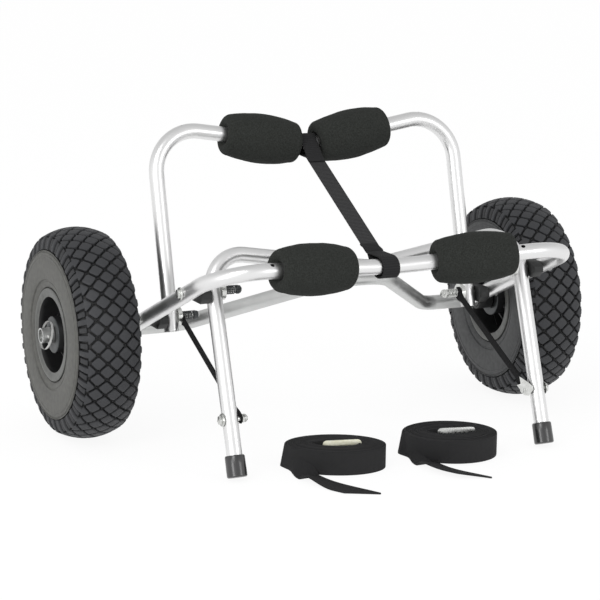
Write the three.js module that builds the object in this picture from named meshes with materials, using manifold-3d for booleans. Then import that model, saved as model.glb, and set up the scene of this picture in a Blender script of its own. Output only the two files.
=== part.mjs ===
// A folding kayak cart: a tilted front frame, a rear frame and a kickstand of bent aluminium tube,
// four foam pads, sprung pivots, two pneumatic wheels on a bowed axle, and two rolled tie-down straps.
// Millimetres, +Z up, +X to the cart's right along the axle, -Y to the front, where the stand is.

import * as THREE from 'three';
import { mergeVertices } from 'three/addons/utils/BufferGeometryUtils.js';
import Module from 'manifold-3d';

const wasm = await Module();
wasm.setup();

const X = new THREE.Vector3(1, 0, 0);
const Y = new THREE.Vector3(0, 1, 0);
const Z = new THREE.Vector3(0, 0, 1);
const degrees = Math.PI / 180;
const fullTurn = 2 * Math.PI;
const sides = [['left', -1], ['right', 1]];

// Fits and facets
const seatGap = 0.3;
const boreGap = 0.4;
const overrun = 5;
const tubeSides = 12;
const boreSides = 6;
const roundSides = 12;
const smallSides = 8;
const hexSides = 6;
const hollowSides = 20;
const bendStep = 20 * degrees;
const weldDistance = 1e-4;

// Bent tube, common to all the frames
const tubeRadius = 9.5;
const tubeWall = 1.6;
const barSlope = 9.3 * degrees;
const cornerRadius = 60;
const veeRadius = 30;

// Front frame, in a plane that holds the axle
const frameTilt = 23.3 * degrees;
const frontHalfWidth = 240;
const frontVeeReach = 276;
const drainHoleRadius = 1.8;
const frontDrainHoleInset = 73;

// Axle and its bow
const axleBeyondPin = 7.7;
const bowTilt = 25.9 * degrees;
const bowInset = 36.1;
const bowTopX = 34.8;
const bowBehindPivot = 31.7;
const bowLowRadius = 37;
const bowHighRadius = 58;

// Rear frame
const rearLean = 15.24 * degrees;
const rearPivotReach = 59.3;
const rearPostBelow = 18.8;
const rearVeeAbove = 203.7;
const rearDrainHoleInset = 42.4;
const rearCornerRadius = 52;

// Kickstand
const standLean = 19.95 * degrees;
const standPivotBelowVee = 68.4;
const standVeeAbove = 14.1;
const standCornerRadius = 38;
const legBoltHeight = 69;

// Rubber feet
const footRadius = 12.2;
const footHeight = 26;
const footSole = 5;
const footRounding = 1.2;

// Foam pads
const frontPadLengthShare = 0.4167;
const rearPadLengthShare = 0.458;
const padFaceRadius = 18;
const padShoulderRadius = 24.5;
const padMiddleRadius = 30;
const padRounding = 8;
const padSegments = 12;
const padArcSteps = 2;
const padCrownSteps = 4;
const frontPadInsets = [128, 137];
const rearPadClearance = 1;

// Pivot hardware
const boltRadius = 3;
const flangeRadius = 8;
const flangeThickness = 1.5;
const headAcrossFlats = 10;
const headHeight = 4.5;
const nutHeight = 6;
const nutCollarHeight = 2;
const boltBeyondNut = 1.4;
const saddleRadius = 11.5;
const saddleThickness = 2.6;
const saddleWrap = 2.2;
const springMeanRadius = 4.75;
const springWire = 1.5;
const springLength = 16;
const springCurls = 5;
const springStepsPerCurl = 8;
const springSides = 5;

// Moulded pivot spacers
const spacerThickness = 13;
const spacerLength = 60;
const spacerHeight = 34;
const spacerEndChamfer = 14;
const spacerEdgeChamfer = 12;

// Webbing that limits the folds
const limiterWidth = 9;
const limiterThickness = 1.6;
const strapThickness = 1.8;
const strapWidth = 22;
const strapRear = { loopX: 1, seamX: -3 };
const strapFront = { loopX: -6, seamX: -13 };
const strapSeamReach = 32;
const strapLoopSteps = 8;
const limiterArcSteps = 6;

// Wheels
const tyreRadius = 131.5;
const tyreWidth = 83;
const treadHalfWidthShare = 0.8;
const crownDrop = 8.5;
const grooveDepth = 3.2;
const blocksAround = 26;
const treadRows = 5;
const blockTopShare = 0.74;
const tyreWall = 4;
const tyreCrownWall = 8;
const beadWidth = 10;

// Shoulder lugs and the grooves between them, then the sidewall down to the bead and the cavity: shares
// of half the width and of the height
const lugHeadShares = [0.839, 0.874];
const lugFootShares = [0.961, 0.685];
const grooveHeadShares = [0.805, 0.832];
const grooveFootShares = [0.925, 0.672];
const sidewallShares = [[0.94, 0.66], [1, 0.42], [0.95, 0.14]];
const cavityShares = [[0.88, 0.22], [0.9, 0.66], [0.64, 0.835]];

// Rims
const beadRadius = 50;
const flangeLipRadius = 58;
const flangeInset = 6;
const rimWall = 3;
const hubBossRadius = 22;
const hubHalfWidth = 34;
const webThickness = 5;
const rimRibs = 8;
const ribThickness = 3.2;
const ribHubX = 26;
const ribBarrelX = 12;
const rimSegments = 16;

// Bearings, collars and lock pins
const collarLength = 20.4;
const bearingRadius = 17;
const bearingDepth = 12;
const hubDiscRadius = 23;
const hubDiscThickness = 1.6;
const collarRadius = 13;
const pinRadius = 2.2;
const pinStandoff = 5.3;
const pinHeadRadius = 4;
const pinHeadLength = 6;
const pinTail = 4;
const ringRadius = 17;
const ringWire = 1.3;
const ringTilt = 14 * degrees;
const ringSteps = 18;
const ringSides = 5;

// Inner tubes, open to the air only through the valve's bore
const airTubeDepthShare = 0.76;
const airTubeWidthShare = 0.62;
const airTubeWall = 2;
const airTubePoints = 6;
const valveBoreRadius = 2.5;

// Rolled tie-down straps and their cam buckles
const webbingWidth = 26;
const webbingThickness = 2.2;
const coilTurns = 9;
const coilSteps = 20;
const coilHalfLength = 60.6;
const coilHalfDepth = 42.2;
const coreHalfLength = 28.5;
const coreHalfDepth = 13;
const tailSteps = 14;
const tailTwistShare = 0.5;
const buckleLength = 45;
const buckleHeight = 32;
const buckleGauge = 2;
const buckleDepth = 9;
const buckleCheekLength = 28;
const buckleRollerRadius = 2.6;
const buckleRounding = 6;
const buckleCornerSteps = 2;

// Where each strap lies, seen from above: the coil's centre and turn, then where its tail runs
const leftCoilCentre = [-73, -248.5];
const leftCoilTurn = -22.7 * degrees;
const leftTail = [[-136, -260], [-128, -287], [-115, -321], [-78, -379]];
const rightCoilCentre = [85.3, -241.7];
const rightCoilTurn = -21.4 * degrees;
const rightTail = [[20, -252], [28, -284], [43, -319], [74, -366]];

// Places that follow from the sizes above, outward from the middle
const legHalfWidth = frontHalfWidth - 2 * (tubeRadius + seatGap) - spacerThickness;
const hubInnerX = frontHalfWidth + tubeRadius + 2 * seatGap + collarLength;
const wheelX = hubInnerX + hubDiscThickness + seatGap + hubHalfWidth;
const hubEndX = wheelX + hubHalfWidth + seatGap + hubDiscThickness;
const pinX = hubEndX + pinStandoff + pinRadius;
const axleHalfLength = pinX + axleBeyondPin;
const flangeLipX = tyreWidth / 2 - flangeInset;
const standPivotReach = frontVeeReach - standPivotBelowVee;
const bowReach = standPivotReach - bowBehindPivot;
const bowStubX = legHalfWidth - bowInset;
const frontPadLength = frontHalfWidth * frontPadLengthShare;
const rearPadLength = legHalfWidth * rearPadLengthShare;
const rearPadX = strapWidth / 2 - strapRear.seamX + rearPadClearance + rearPadLength / 2;

// Finishes

function finish(color, roughness, metalness) {
  return new THREE.MeshStandardMaterial({ color, roughness, metalness });
}

const finishes = {
  tube: () => finish(0xd9dadb, 0.38, 0.85),
  axle: () => finish(0xb9bbbd, 0.42, 0.85),
  foam: () => finish(0x333533, 0.95, 0),
  rubber: () => finish(0x3c3c3e, 0.85, 0),
  footRubber: () => finish(0x141415, 0.35, 0),
  plastic: () => finish(0x232323, 0.55, 0),
  rim: () => finish(0x1a1a1b, 0.4, 0),
  steel: () => finish(0xc3c3c0, 0.3, 0.9),
  darkSteel: () => finish(0x2b2b2c, 0.4, 0.6),
  webbing: () => finish(0x2f2f30, 0.9, 0),
};

// Scene graph helpers

function place(parent, position, rotation = [0, 0, 0]) {
  const group = new THREE.Group();
  group.position.set(...position);
  group.rotation.set(...rotation);
  parent.add(group);
  return group;
}

function piece(parent, name, geometry, look) {
  const mesh = new THREE.Mesh(geometry, look());
  mesh.name = name;
  parent.add(mesh);
  return mesh;
}

// Closed bodies and booleans

function bare(geometry) {
  const copy = geometry.index ? geometry.toNonIndexed() : geometry.clone();
  copy.deleteAttribute('normal');
  copy.deleteAttribute('uv');
  const welded = mergeVertices(copy, weldDistance);
  const faces = [];
  const index = welded.index.array;
  for (let i = 0; i < index.length; i += 3) {
    const [a, b, c] = [index[i], index[i + 1], index[i + 2]];
    if (a !== b && b !== c && c !== a) faces.push(a, b, c);
  }
  welded.setIndex(faces);
  return welded;
}

function signedVolume(positions, index) {
  const a = new THREE.Vector3();
  const b = new THREE.Vector3();
  const c = new THREE.Vector3();
  let volume = 0;
  for (let i = 0; i < index.length; i += 3) {
    a.fromArray(positions, 3 * index[i]);
    b.fromArray(positions, 3 * index[i + 1]);
    c.fromArray(positions, 3 * index[i + 2]);
    volume += a.dot(b.cross(c)) / 6;
  }
  return volume;
}

function closedBody(positions, index) {
  const faces = [...index];
  if (signedVolume(positions, faces) < 0) {
    for (let i = 0; i < faces.length; i += 3) {
      [faces[i + 1], faces[i + 2]] = [faces[i + 2], faces[i + 1]];
    }
  }
  const geometry = new THREE.BufferGeometry();
  geometry.setAttribute('position', new THREE.Float32BufferAttribute(positions, 3));
  geometry.setIndex(faces);
  geometry.computeVertexNormals();
  return geometry;
}

function solid(geometry) {
  const welded = bare(geometry);
  const vertProperties = new Float32Array(welded.attributes.position.array);
  const triVerts = new Uint32Array(welded.index.array);
  return new wasm.Manifold(new wasm.Mesh({ numProp: 3, vertProperties, triVerts }));
}

function asGeometry(body) {
  const mesh = body.getMesh();
  return closedBody(Array.from(mesh.vertProperties), Array.from(mesh.triVerts));
}

function cut(geometry, ...tools) {
  return asGeometry(tools.reduce((left, tool) => left.subtract(solid(tool)), solid(geometry)));
}

function join(geometry, ...others) {
  return asGeometry(others.reduce((sum, other) => sum.add(solid(other)), solid(geometry)));
}

// Forms

// A round bar of which every facet stands at least this far from its axis, along X between two places
function rodAlongX(radius, fromX, toX, facets = smallSides) {
  const rod = new THREE.CylinderGeometry(radius, radius, toX - fromX, facets);
  rod.rotateZ(-Math.PI / 2);
  rod.translate((fromX + toX) / 2, 0, 0);
  return rod;
}

function clearRadius(radius, facets) {
  return radius / Math.cos(Math.PI / facets);
}

function drillAlongX(radius, fromX, toX) {
  return rodAlongX(clearRadius(radius, smallSides), fromX, toX);
}

function turned(profile, segments) {
  const outline = profile.map(([r, along]) => new THREE.Vector2(r, along));
  if (outline[0].x > 0) outline.push(outline[0].clone());
  const geometry = bare(new THREE.LatheGeometry(outline, segments));
  return closedBody(Array.from(geometry.attributes.position.array), Array.from(geometry.index.array));
}

// The same, revolved about X, with the profile's second value along X
function turnedAlongX(profile, segments) {
  return turned(profile, segments).rotateZ(-Math.PI / 2);
}

function polygon(radius, corners, start = 0) {
  const points = [];
  for (let i = 0; i < corners; i += 1) {
    const angle = start + (fullTurn * i) / corners;
    points.push(new THREE.Vector2(radius * Math.cos(angle), radius * Math.sin(angle)));
  }
  return points;
}

function washerShape(outline, boreRadius, corners) {
  const shape = new THREE.Shape(outline);
  if (boreRadius > 0) shape.holes.push(new THREE.Path(polygon(boreRadius, corners).reverse()));
  return shape;
}

// A flat plate standing across X, drawn in the Y-Z plane
function plateAcrossX(shape, fromX, thickness) {
  const plate = new THREE.ExtrudeGeometry(shape, { depth: thickness, bevelEnabled: false });
  plate.applyMatrix4(new THREE.Matrix4().makeBasis(Y, Z, X));
  plate.translate(fromX, 0, 0);
  return plate;
}

// A route with its own stations, so that a straight run takes one step and a bend several
class Route extends THREE.Curve {
  constructor(points, tangents) {
    super();
    this.points = points;
    this.tangents = tangents;
  }

  getPoint(t, target = new THREE.Vector3()) {
    return target.copy(this.points[Math.round(t * (this.points.length - 1))]);
  }

  getPointAt(u, target) {
    return this.getPoint(u, target);
  }

  getTangentAt(u, target = new THREE.Vector3()) {
    return target.copy(this.tangents[Math.round(u * (this.tangents.length - 1))]);
  }
}

function bentRoute(corners, radii) {
  const heading = (i) => corners[i + 1].clone().sub(corners[i]).normalize();
  const points = [corners[0].clone()];
  const tangents = [heading(0)];
  radii.forEach((radius, i) => {
    const before = heading(i);
    const after = heading(i + 1);
    const turn = before.angleTo(after);
    const inward = after.clone().addScaledVector(before, -before.dot(after)).normalize();
    const start = corners[i + 1].clone().addScaledVector(before, -radius * Math.tan(turn / 2));
    const centre = start.addScaledVector(inward, radius);
    const steps = Math.max(2, Math.ceil(turn / bendStep));
    for (let k = 0; k <= steps; k += 1) {
      const angle = (turn * k) / steps;
      const out = before.clone().multiplyScalar(Math.sin(angle)).addScaledVector(inward, -Math.cos(angle));
      points.push(centre.clone().addScaledVector(out, radius));
      tangents.push(before.clone().multiplyScalar(Math.cos(angle)).addScaledVector(inward, Math.sin(angle)));
    }
  });
  points.push(corners[corners.length - 1].clone());
  tangents.push(heading(corners.length - 2));
  return new Route(points, tangents);
}

function sweptTube(route, bore) {
  const section = washerShape(polygon(tubeRadius, tubeSides), bore, boreSides);
  const steps = route.points.length - 1;
  return new THREE.ExtrudeGeometry(section, { steps, extrudePath: route, bevelEnabled: false });
}

// A flat band from stations, each with its centre, half its width and half its thickness as vectors
function band(stations) {
  const positions = [];
  const index = [];
  const corners = [[1, 1], [-1, 1], [-1, -1], [1, -1]];
  stations.forEach(({ centre, across, through }) => {
    corners.forEach(([a, t]) => {
      const corner = centre.clone().addScaledVector(across, a).addScaledVector(through, t);
      positions.push(corner.x, corner.y, corner.z);
    });
  });
  for (let s = 0; s < stations.length - 1; s += 1) {
    corners.forEach((unused, k) => {
      const next = (k + 1) % corners.length;
      const here = corners.length * s;
      const there = here + corners.length;
      index.push(here + k, here + next, there + next, here + k, there + next, there + k);
    });
  }
  const last = corners.length * (stations.length - 1);
  index.push(0, 2, 1, 0, 3, 2, last, last + 1, last + 2, last, last + 2, last + 3);
  return closedBody(positions, index);
}

// The U-shaped frames, each drawn flat: X across, Z up the legs

function archCorners(halfWidth, footZ, veeZ) {
  const cornerZ = veeZ + halfWidth * Math.tan(barSlope);
  return [
    new THREE.Vector3(-halfWidth, 0, footZ),
    new THREE.Vector3(-halfWidth, 0, cornerZ),
    new THREE.Vector3(0, 0, veeZ),
    new THREE.Vector3(halfWidth, 0, cornerZ),
    new THREE.Vector3(halfWidth, 0, footZ),
  ];
}

function archRoute(halfWidth, footZ, veeZ, bendRadius) {
  return bentRoute(archCorners(halfWidth, footZ, veeZ), [bendRadius, veeRadius, bendRadius]);
}

function archTube(halfWidth, footZ, veeZ, bendRadius) {
  return sweptTube(archRoute(halfWidth, footZ, veeZ, bendRadius), tubeRadius - tubeWall);
}

function barZ(veeZ, x) {
  return veeZ + Math.abs(x) * Math.tan(barSlope);
}

// Bolts run right through a leg from one of its sides to the other
function boltHoles(halfWidth, z) {
  return sides.map(([, side]) => {
    const reach = tubeRadius + overrun;
    const drill = drillAlongX(boltRadius + boreGap, side * halfWidth - reach, side * halfWidth + reach);
    return drill.translate(0, 0, z);
  });
}

function drainHoles(holeX, z) {
  return sides.map(([, side]) => {
    const reach = tubeRadius + overrun;
    const drill = new THREE.CylinderGeometry(drainHoleRadius, drainHoleRadius, reach, boreSides);
    drill.rotateX(Math.PI / 2);
    return drill.translate(side * holeX, 0, z + reach / 2);
  });
}

// A pad's closed profile: flat ends round the tube, a rounded edge, then the crown
function padProfile(length) {
  const bore = clearRadius(tubeRadius + seatGap, padSegments);
  const half = length / 2;
  const shoulder = half - padRounding;
  const endArc = [];
  for (let k = 0; k <= padArcSteps; k += 1) {
    const angle = (Math.PI / 2) * (k / padArcSteps);
    const rise = (padShoulderRadius - padFaceRadius) * Math.sin(angle);
    endArc.push([padFaceRadius + rise, half - padRounding * (1 - Math.cos(angle))]);
  }
  const crown = [];
  for (let k = 1; k < padCrownSteps; k += 1) {
    const share = 1 - (2 * k) / padCrownSteps;
    const rise = (padMiddleRadius - padShoulderRadius) * (1 - share * share);
    crown.push([padShoulderRadius + rise, shoulder * share]);
  }
  const farArc = [...endArc].reverse().map(([r, along]) => [r, -along]);
  return [[bore, half], ...endArc, ...crown, ...farArc, [bore, -half]];
}

function padOnBar(parent, name, x, veeZ, length) {
  const side = Math.sign(x);
  const seat = place(parent, [x, 0, barZ(veeZ, x)], [0, -side * barSlope, 0]);
  piece(seat, name, turnedAlongX(padProfile(length), padSegments), finishes.foam);
}

// Pivot hardware, drawn along X from the outside of one leg of the front frame to the nut

function hexPlate(acrossFlats, fromX, thickness, boreRadius = 0) {
  const corner = clearRadius(acrossFlats / 2, hexSides);
  return plateAcrossX(washerShape(polygon(corner, hexSides), boreRadius, smallSides), fromX, thickness);
}

// The bolt's head is at outerX and its thread ends at innerX, on the side that the sign gives
function boltGeometry(side, outerX, innerX) {
  const headEnd = outerX + headHeight;
  const flangeEnd = outerX + flangeThickness;
  const [shankFrom, shankTo] = [side * innerX, side * headEnd].sort((a, b) => a - b);
  const [flangeFrom, flangeTo] = [side * outerX, side * flangeEnd].sort((a, b) => a - b);
  const shank = rodAlongX(boltRadius, shankFrom, shankTo);
  const flange = rodAlongX(flangeRadius, flangeFrom, flangeTo, roundSides);
  return join(shank, flange, hexPlate(headAcrossFlats, side > 0 ? outerX : -headEnd, headHeight));
}

function nutGeometry(side, outerX) {
  const bore = clearRadius(boltRadius + seatGap, smallSides);
  const hexLength = nutHeight - nutCollarHeight;
  const hexFrom = side > 0 ? outerX - hexLength : -outerX;
  const collarFrom = side > 0 ? outerX - nutHeight : -(outerX - hexLength);
  const collarShape = washerShape(polygon(headAcrossFlats / 2, smallSides), bore, smallSides);
  const collar = plateAcrossX(collarShape, collarFrom, nutCollarHeight);
  return join(hexPlate(headAcrossFlats, hexFrom, hexLength, bore), collar);
}

function springGeometry(side, outerX) {
  const steps = springCurls * springStepsPerCurl;
  const run = springLength - springWire - 2 * seatGap;
  const points = [];
  const tangents = [];
  for (let k = 0; k <= steps; k += 1) {
    const angle = (fullTurn * k) / springStepsPerCurl;
    const along = outerX - seatGap - springWire / 2 - (run * k) / steps;
    const [y, z] = [springMeanRadius * Math.cos(angle), springMeanRadius * Math.sin(angle)];
    points.push(new THREE.Vector3(side * along, y, z));
    const climb = (-side * run) / (fullTurn * springCurls);
    tangents.push(new THREE.Vector3(climb, -z, y).normalize());
  }
  const gap = leastGap(points, springStepsPerCurl / 2, springWire);
  console.log(`pivot spring: least gap between curls ${gap.toFixed(2)} mm`);
  const wire = new THREE.Shape(polygon(springWire / 2, springSides));
  const extrudePath = new Route(points, tangents);
  return new THREE.ExtrudeGeometry(wire, { steps, extrudePath, bevelEnabled: false });
}

function spacerGeometry(fromX, thickness) {
  const halfLength = spacerLength / 2;
  const halfHeight = spacerHeight / 2;
  const flat = halfLength - spacerEndChamfer;
  const upright = halfHeight - spacerEdgeChamfer;
  const outline = [
    [halfLength, -upright], [halfLength, upright], [flat, halfHeight], [-flat, halfHeight],
    [-halfLength, upright], [-halfLength, -upright], [-flat, -halfHeight], [flat, -halfHeight],
  ].map(([y, z]) => new THREE.Vector2(y, z));
  const bore = clearRadius(boltRadius + seatGap, smallSides);
  return plateAcrossX(washerShape(outline, bore, smallSides), fromX, thickness);
}

// A washer hollowed to the leg that it bears on, drawn with that leg's frame
function saddleGeometry(side, legX, veeZ, bendRadius) {
  const faceX = legX - tubeRadius + saddleWrap;
  const thickness = saddleWrap + seatGap + saddleThickness;
  const fromX = side > 0 ? faceX - thickness : -faceX;
  const bore = clearRadius(boltRadius + seatGap, smallSides);
  const discShape = washerShape(polygon(saddleRadius, roundSides), bore, smallSides);
  const disc = plateAcrossX(discShape, fromX, thickness);
  const hollow = new THREE.Shape(polygon(clearRadius(tubeRadius + seatGap, tubeSides), tubeSides));
  const route = archRoute(legX, -saddleRadius - overrun, veeZ, bendRadius);
  const leg = new THREE.ExtrudeGeometry(hollow, {
    steps: route.points.length - 1, extrudePath: route, bevelEnabled: false,
  });
  return cut(disc, leg);
}

// Places on the bolt's line, outermost first
function pivotStack() {
  const outerFace = frontHalfWidth + tubeRadius + seatGap;
  const spacerOuter = frontHalfWidth - tubeRadius - seatGap;
  const spacerInner = legHalfWidth + tubeRadius + seatGap;
  const saddleInner = legHalfWidth - tubeRadius - seatGap - saddleThickness;
  return { outerFace, spacerOuter, spacerInner, saddleInner };
}

function pivotHardware(fixed, moving, prefix, leg) {
  const { veeZ, bendRadius, strapOnBolt } = leg;
  const { outerFace, spacerOuter, spacerInner, saddleInner } = pivotStack();
  const strapRoom = strapOnBolt ? limiterThickness + seatGap : 0;
  const springOuter = saddleInner - strapRoom;
  const nutOuter = springOuter - springLength;
  const boltEnd = nutOuter - nutHeight - boltBeyondNut;
  sides.forEach(([hand, side]) => {
    const spacer = spacerGeometry(side > 0 ? spacerInner : -spacerOuter, spacerOuter - spacerInner);
    const saddle = saddleGeometry(side, legHalfWidth, veeZ, bendRadius);
    piece(fixed, `${prefix}_pivot_bolt_${hand}`, boltGeometry(side, outerFace, boltEnd), finishes.steel);
    piece(fixed, `${prefix}_pivot_spacer_${hand}`, spacer, finishes.plastic);
    piece(fixed, `${prefix}_pivot_spring_${hand}`, springGeometry(side, springOuter), finishes.darkSteel);
    piece(fixed, `${prefix}_pivot_nut_${hand}`, nutGeometry(side, nutOuter), finishes.steel);
    piece(moving, `${prefix}_saddle_washer_${hand}`, saddle, finishes.steel);
  });
}

// Frames of reference, all from the axle

const root = new THREE.Group();
const axleFrame = place(root, [0, 0, tyreRadius]);

// In the tilted plane the legs run forward and up from the axle, so Z along them turns toward the front
const tiltTurn = Math.PI / 2 - frameTilt;
const frontPlane = place(axleFrame, [0, 0, 0], [tiltTurn, 0, 0]);
const bowTurn = Math.PI / 2 - bowTilt;
const bowPlane = place(axleFrame, [0, 0, 0], [bowTurn, 0, 0]);

function alongSideMember(reach) {
  return [0, -reach * Math.cos(frameTilt), reach * Math.sin(frameTilt)];
}

const rearPivot = alongSideMember(rearPivotReach);
const standPivot = alongSideMember(standPivotReach);
const rearPivotFrame = place(axleFrame, rearPivot);
const rearFrame = place(rearPivotFrame, [0, 0, 0], [-rearLean, 0, 0]);
const standPivotFrame = place(axleFrame, standPivot);
const standFrame = place(standPivotFrame, [0, 0, 0], [-standLean, 0, 0]);

// Front frame

function frontFrameTube() {
  const blank = archTube(frontHalfWidth, 0, frontVeeReach, cornerRadius);
  const copeRadius = clearRadius(tubeRadius + seatGap, hollowSides);
  const copeReach = frontHalfWidth + 2 * tubeRadius;
  const cope = rodAlongX(copeRadius, -copeReach, copeReach, hollowSides);
  const pivots = [rearPivotReach, standPivotReach].flatMap((reach) => boltHoles(frontHalfWidth, reach));
  const holeX = frontHalfWidth - frontDrainHoleInset;
  return cut(blank, cope, ...pivots, ...drainHoles(holeX, barZ(frontVeeReach, holeX)));
}

piece(frontPlane, 'front_frame_tube', frontFrameTube(), finishes.tube);
sides.forEach(([hand, side], i) => {
  const x = side * (frontHalfWidth - frontPadInsets[i]);
  padOnBar(frontPlane, `front_pad_${hand}`, x, frontVeeReach, frontPadLength);
});

// Axle

function axleTube() {
  const corners = [
    [-axleHalfLength, 0], [-bowStubX, 0], [-bowTopX, bowReach],
    [bowTopX, bowReach], [bowStubX, 0], [axleHalfLength, 0],
  ].map(([x, reach]) => new THREE.Vector3(x, 0, reach));
  const route = bentRoute(corners, [bowLowRadius, bowHighRadius, bowHighRadius, bowLowRadius]);
  const tube = sweptTube(route, tubeRadius - tubeWall);
  const pinHoles = sides.map(([, side]) => {
    const reach = 2 * (tubeRadius + overrun);
    const hole = clearRadius(pinRadius + seatGap, smallSides);
    const drill = new THREE.CylinderGeometry(hole, hole, reach, smallSides);
    drill.rotateX(-bowTurn);
    return drill.translate(side * pinX, 0, 0);
  });
  return cut(tube, ...pinHoles);
}

piece(bowPlane, 'axle_tube', axleTube(), finishes.axle);

// Collars between the side members and the hubs, and the lock pins outside them

function collarGeometry(side) {
  const outer = side * (hubInnerX - seatGap);
  const inner = outer - side * collarLength;
  const bore = clearRadius(tubeRadius + seatGap, roundSides);
  const profile = [[bore, inner], [collarRadius, inner], [collarRadius, outer], [bore, outer]];
  return turnedAlongX(profile, roundSides);
}

function pinGeometry() {
  const headFrom = ringRadius - pinHeadLength / 2;
  const shankLength = headFrom + tubeRadius + pinTail;
  const shank = new THREE.CylinderGeometry(pinRadius, pinRadius, shankLength, smallSides);
  shank.translate(0, headFrom - shankLength / 2, 0);
  const head = new THREE.CylinderGeometry(pinHeadRadius, pinHeadRadius, pinHeadLength, smallSides);
  head.translate(0, ringRadius, 0);
  const sag = ringRadius - Math.sqrt(ringRadius * ringRadius - pinHeadRadius * pinHeadRadius);
  const eyeRadius = clearRadius(ringWire + seatGap + sag, boreSides);
  const eye = new THREE.CylinderGeometry(eyeRadius, eyeRadius, 2 * pinHeadRadius + overrun, boreSides);
  eye.rotateX(Math.PI / 2);
  eye.translate(0, ringRadius, 0);
  return { body: join(shank, head), eye };
}

function ringGeometry() {
  const points = [];
  const tangents = [];
  const opening = Math.asin(ringWire / ringRadius);
  for (let k = 0; k <= ringSteps; k += 1) {
    const angle = opening + ((fullTurn - 2 * opening) * k) / ringSteps;
    points.push(new THREE.Vector3(0, ringRadius * Math.cos(angle), ringRadius * Math.sin(angle)));
    tangents.push(new THREE.Vector3(0, -Math.sin(angle), Math.cos(angle)));
  }
  const wire = new THREE.Shape(polygon(ringWire, ringSides));
  const extrudePath = new Route(points, tangents);
  return new THREE.ExtrudeGeometry(wire, { steps: ringSteps, extrudePath, bevelEnabled: false });
}

sides.forEach(([hand, side]) => {
  piece(axleFrame, `axle_collar_${hand}`, collarGeometry(side), finishes.plastic);
  const pinFrame = place(axleFrame, [side * pinX, 0, 0]);
  const { body, eye } = pinGeometry();
  eye.rotateY(-side * ringTilt);
  piece(pinFrame, `lock_pin_${hand}`, cut(body, eye), finishes.steel);
  const ringFrame = place(pinFrame, [0, 0, 0], [0, -side * ringTilt, 0]);
  piece(ringFrame, `lock_ring_${hand}`, ringGeometry(), finishes.steel);
});

// Rear frame and its pivots

function rearFrameTube() {
  const blank = archTube(legHalfWidth, -rearPostBelow, rearVeeAbove, rearCornerRadius);
  const holeX = legHalfWidth - rearDrainHoleInset;
  const holes = drainHoles(holeX, barZ(rearVeeAbove, holeX) - tubeRadius);
  return cut(blank, ...boltHoles(legHalfWidth, 0), ...holes);
}

piece(rearFrame, 'rear_frame_tube', rearFrameTube(), finishes.tube);
sides.forEach(([hand, side]) => {
  padOnBar(rearFrame, `rear_pad_${hand}`, side * rearPadX, rearVeeAbove, rearPadLength);
});
pivotHardware(rearPivotFrame, rearFrame, 'rear', {
  veeZ: rearVeeAbove, bendRadius: rearCornerRadius, strapOnBolt: true,
});

// Kickstand, its pivots and its feet

const standPivotHeight = tyreRadius + standPivot[2];
const legBelow = standPivotHeight / Math.cos(standLean);
const legBoltBelow = (standPivotHeight - legBoltHeight) / Math.cos(standLean);

// The sole is square to the leg, so its rear edge is what meets the ground
const soleBelow = legBelow - footRadius * Math.tan(standLean);

function standTube() {
  const blank = archTube(legHalfWidth, footSole + seatGap - soleBelow, standVeeAbove, standCornerRadius);
  return cut(blank, ...boltHoles(legHalfWidth, 0), ...boltHoles(legHalfWidth, -legBoltBelow));
}

function footGeometry() {
  const bore = clearRadius(tubeRadius + seatGap, roundSides);
  const profile = [
    [0, 0], [footRadius - footRounding, 0],
    [footRadius, footRounding], [footRadius, footHeight - footRounding],
    [footRadius - footRounding, footHeight], [bore, footHeight],
    [bore, footSole], [0, footSole],
  ];
  return turned(profile, roundSides).rotateX(Math.PI / 2);
}

piece(standFrame, 'stand_tube', standTube(), finishes.tube);
sides.forEach(([hand, side]) => {
  const footFrame = place(standFrame, [side * legHalfWidth, 0, -soleBelow]);
  piece(footFrame, `stand_foot_${hand}`, footGeometry(), finishes.footRubber);
  const boltFrame = place(standFrame, [0, 0, -legBoltBelow]);
  const outerFace = legHalfWidth + tubeRadius + seatGap;
  const innerFace = pivotStack().saddleInner - limiterThickness - 2 * seatGap;
  const boltEnd = innerFace - nutHeight - boltBeyondNut;
  piece(boltFrame, `leg_bolt_${hand}`, boltGeometry(side, outerFace, boltEnd), finishes.steel);
  piece(boltFrame, `leg_nut_${hand}`, nutGeometry(side, innerFace), finishes.steel);
});
pivotHardware(standPivotFrame, standFrame, 'stand', {
  veeZ: standVeeAbove, bendRadius: standCornerRadius, strapOnBolt: false,
});

// Limiter straps, flat bands from the rear pivot's bolt to the bolt low on each leg

function limiterGeometry(fromX, eyeletFrom, eyeletLength) {
  const from = new THREE.Vector2(rearPivot[1], rearPivot[2]);
  const legBolt = inSideView(-legBoltBelow, -standLean, standPivot);
  const run = legBolt.clone().sub(from);
  const angle = run.angle();
  const outline = [];
  const half = limiterWidth / 2;
  [[from, angle + Math.PI / 2], [legBolt, angle - Math.PI / 2]].forEach(([centre, start]) => {
    for (let k = 0; k <= limiterArcSteps; k += 1) {
      const turn = start + (Math.PI * k) / limiterArcSteps;
      outline.push(new THREE.Vector2(centre.x + half * Math.cos(turn), centre.y + half * Math.sin(turn)));
    }
  });
  const shape = new THREE.Shape(outline);
  const bore = clearRadius(boltRadius + seatGap, smallSides);
  [from, legBolt].forEach((centre) => {
    const hole = polygon(bore, smallSides).map((point) => point.add(centre)).reverse();
    shape.holes.push(new THREE.Path(hole));
  });
  const eyeletShape = washerShape(polygon(half, smallSides), bore, smallSides);
  const eyelet = plateAcrossX(eyeletShape, eyeletFrom, eyeletLength);
  eyelet.translate(0, legBolt.x, legBolt.y);
  return join(plateAcrossX(shape, fromX, limiterThickness), eyelet);
}

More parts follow.
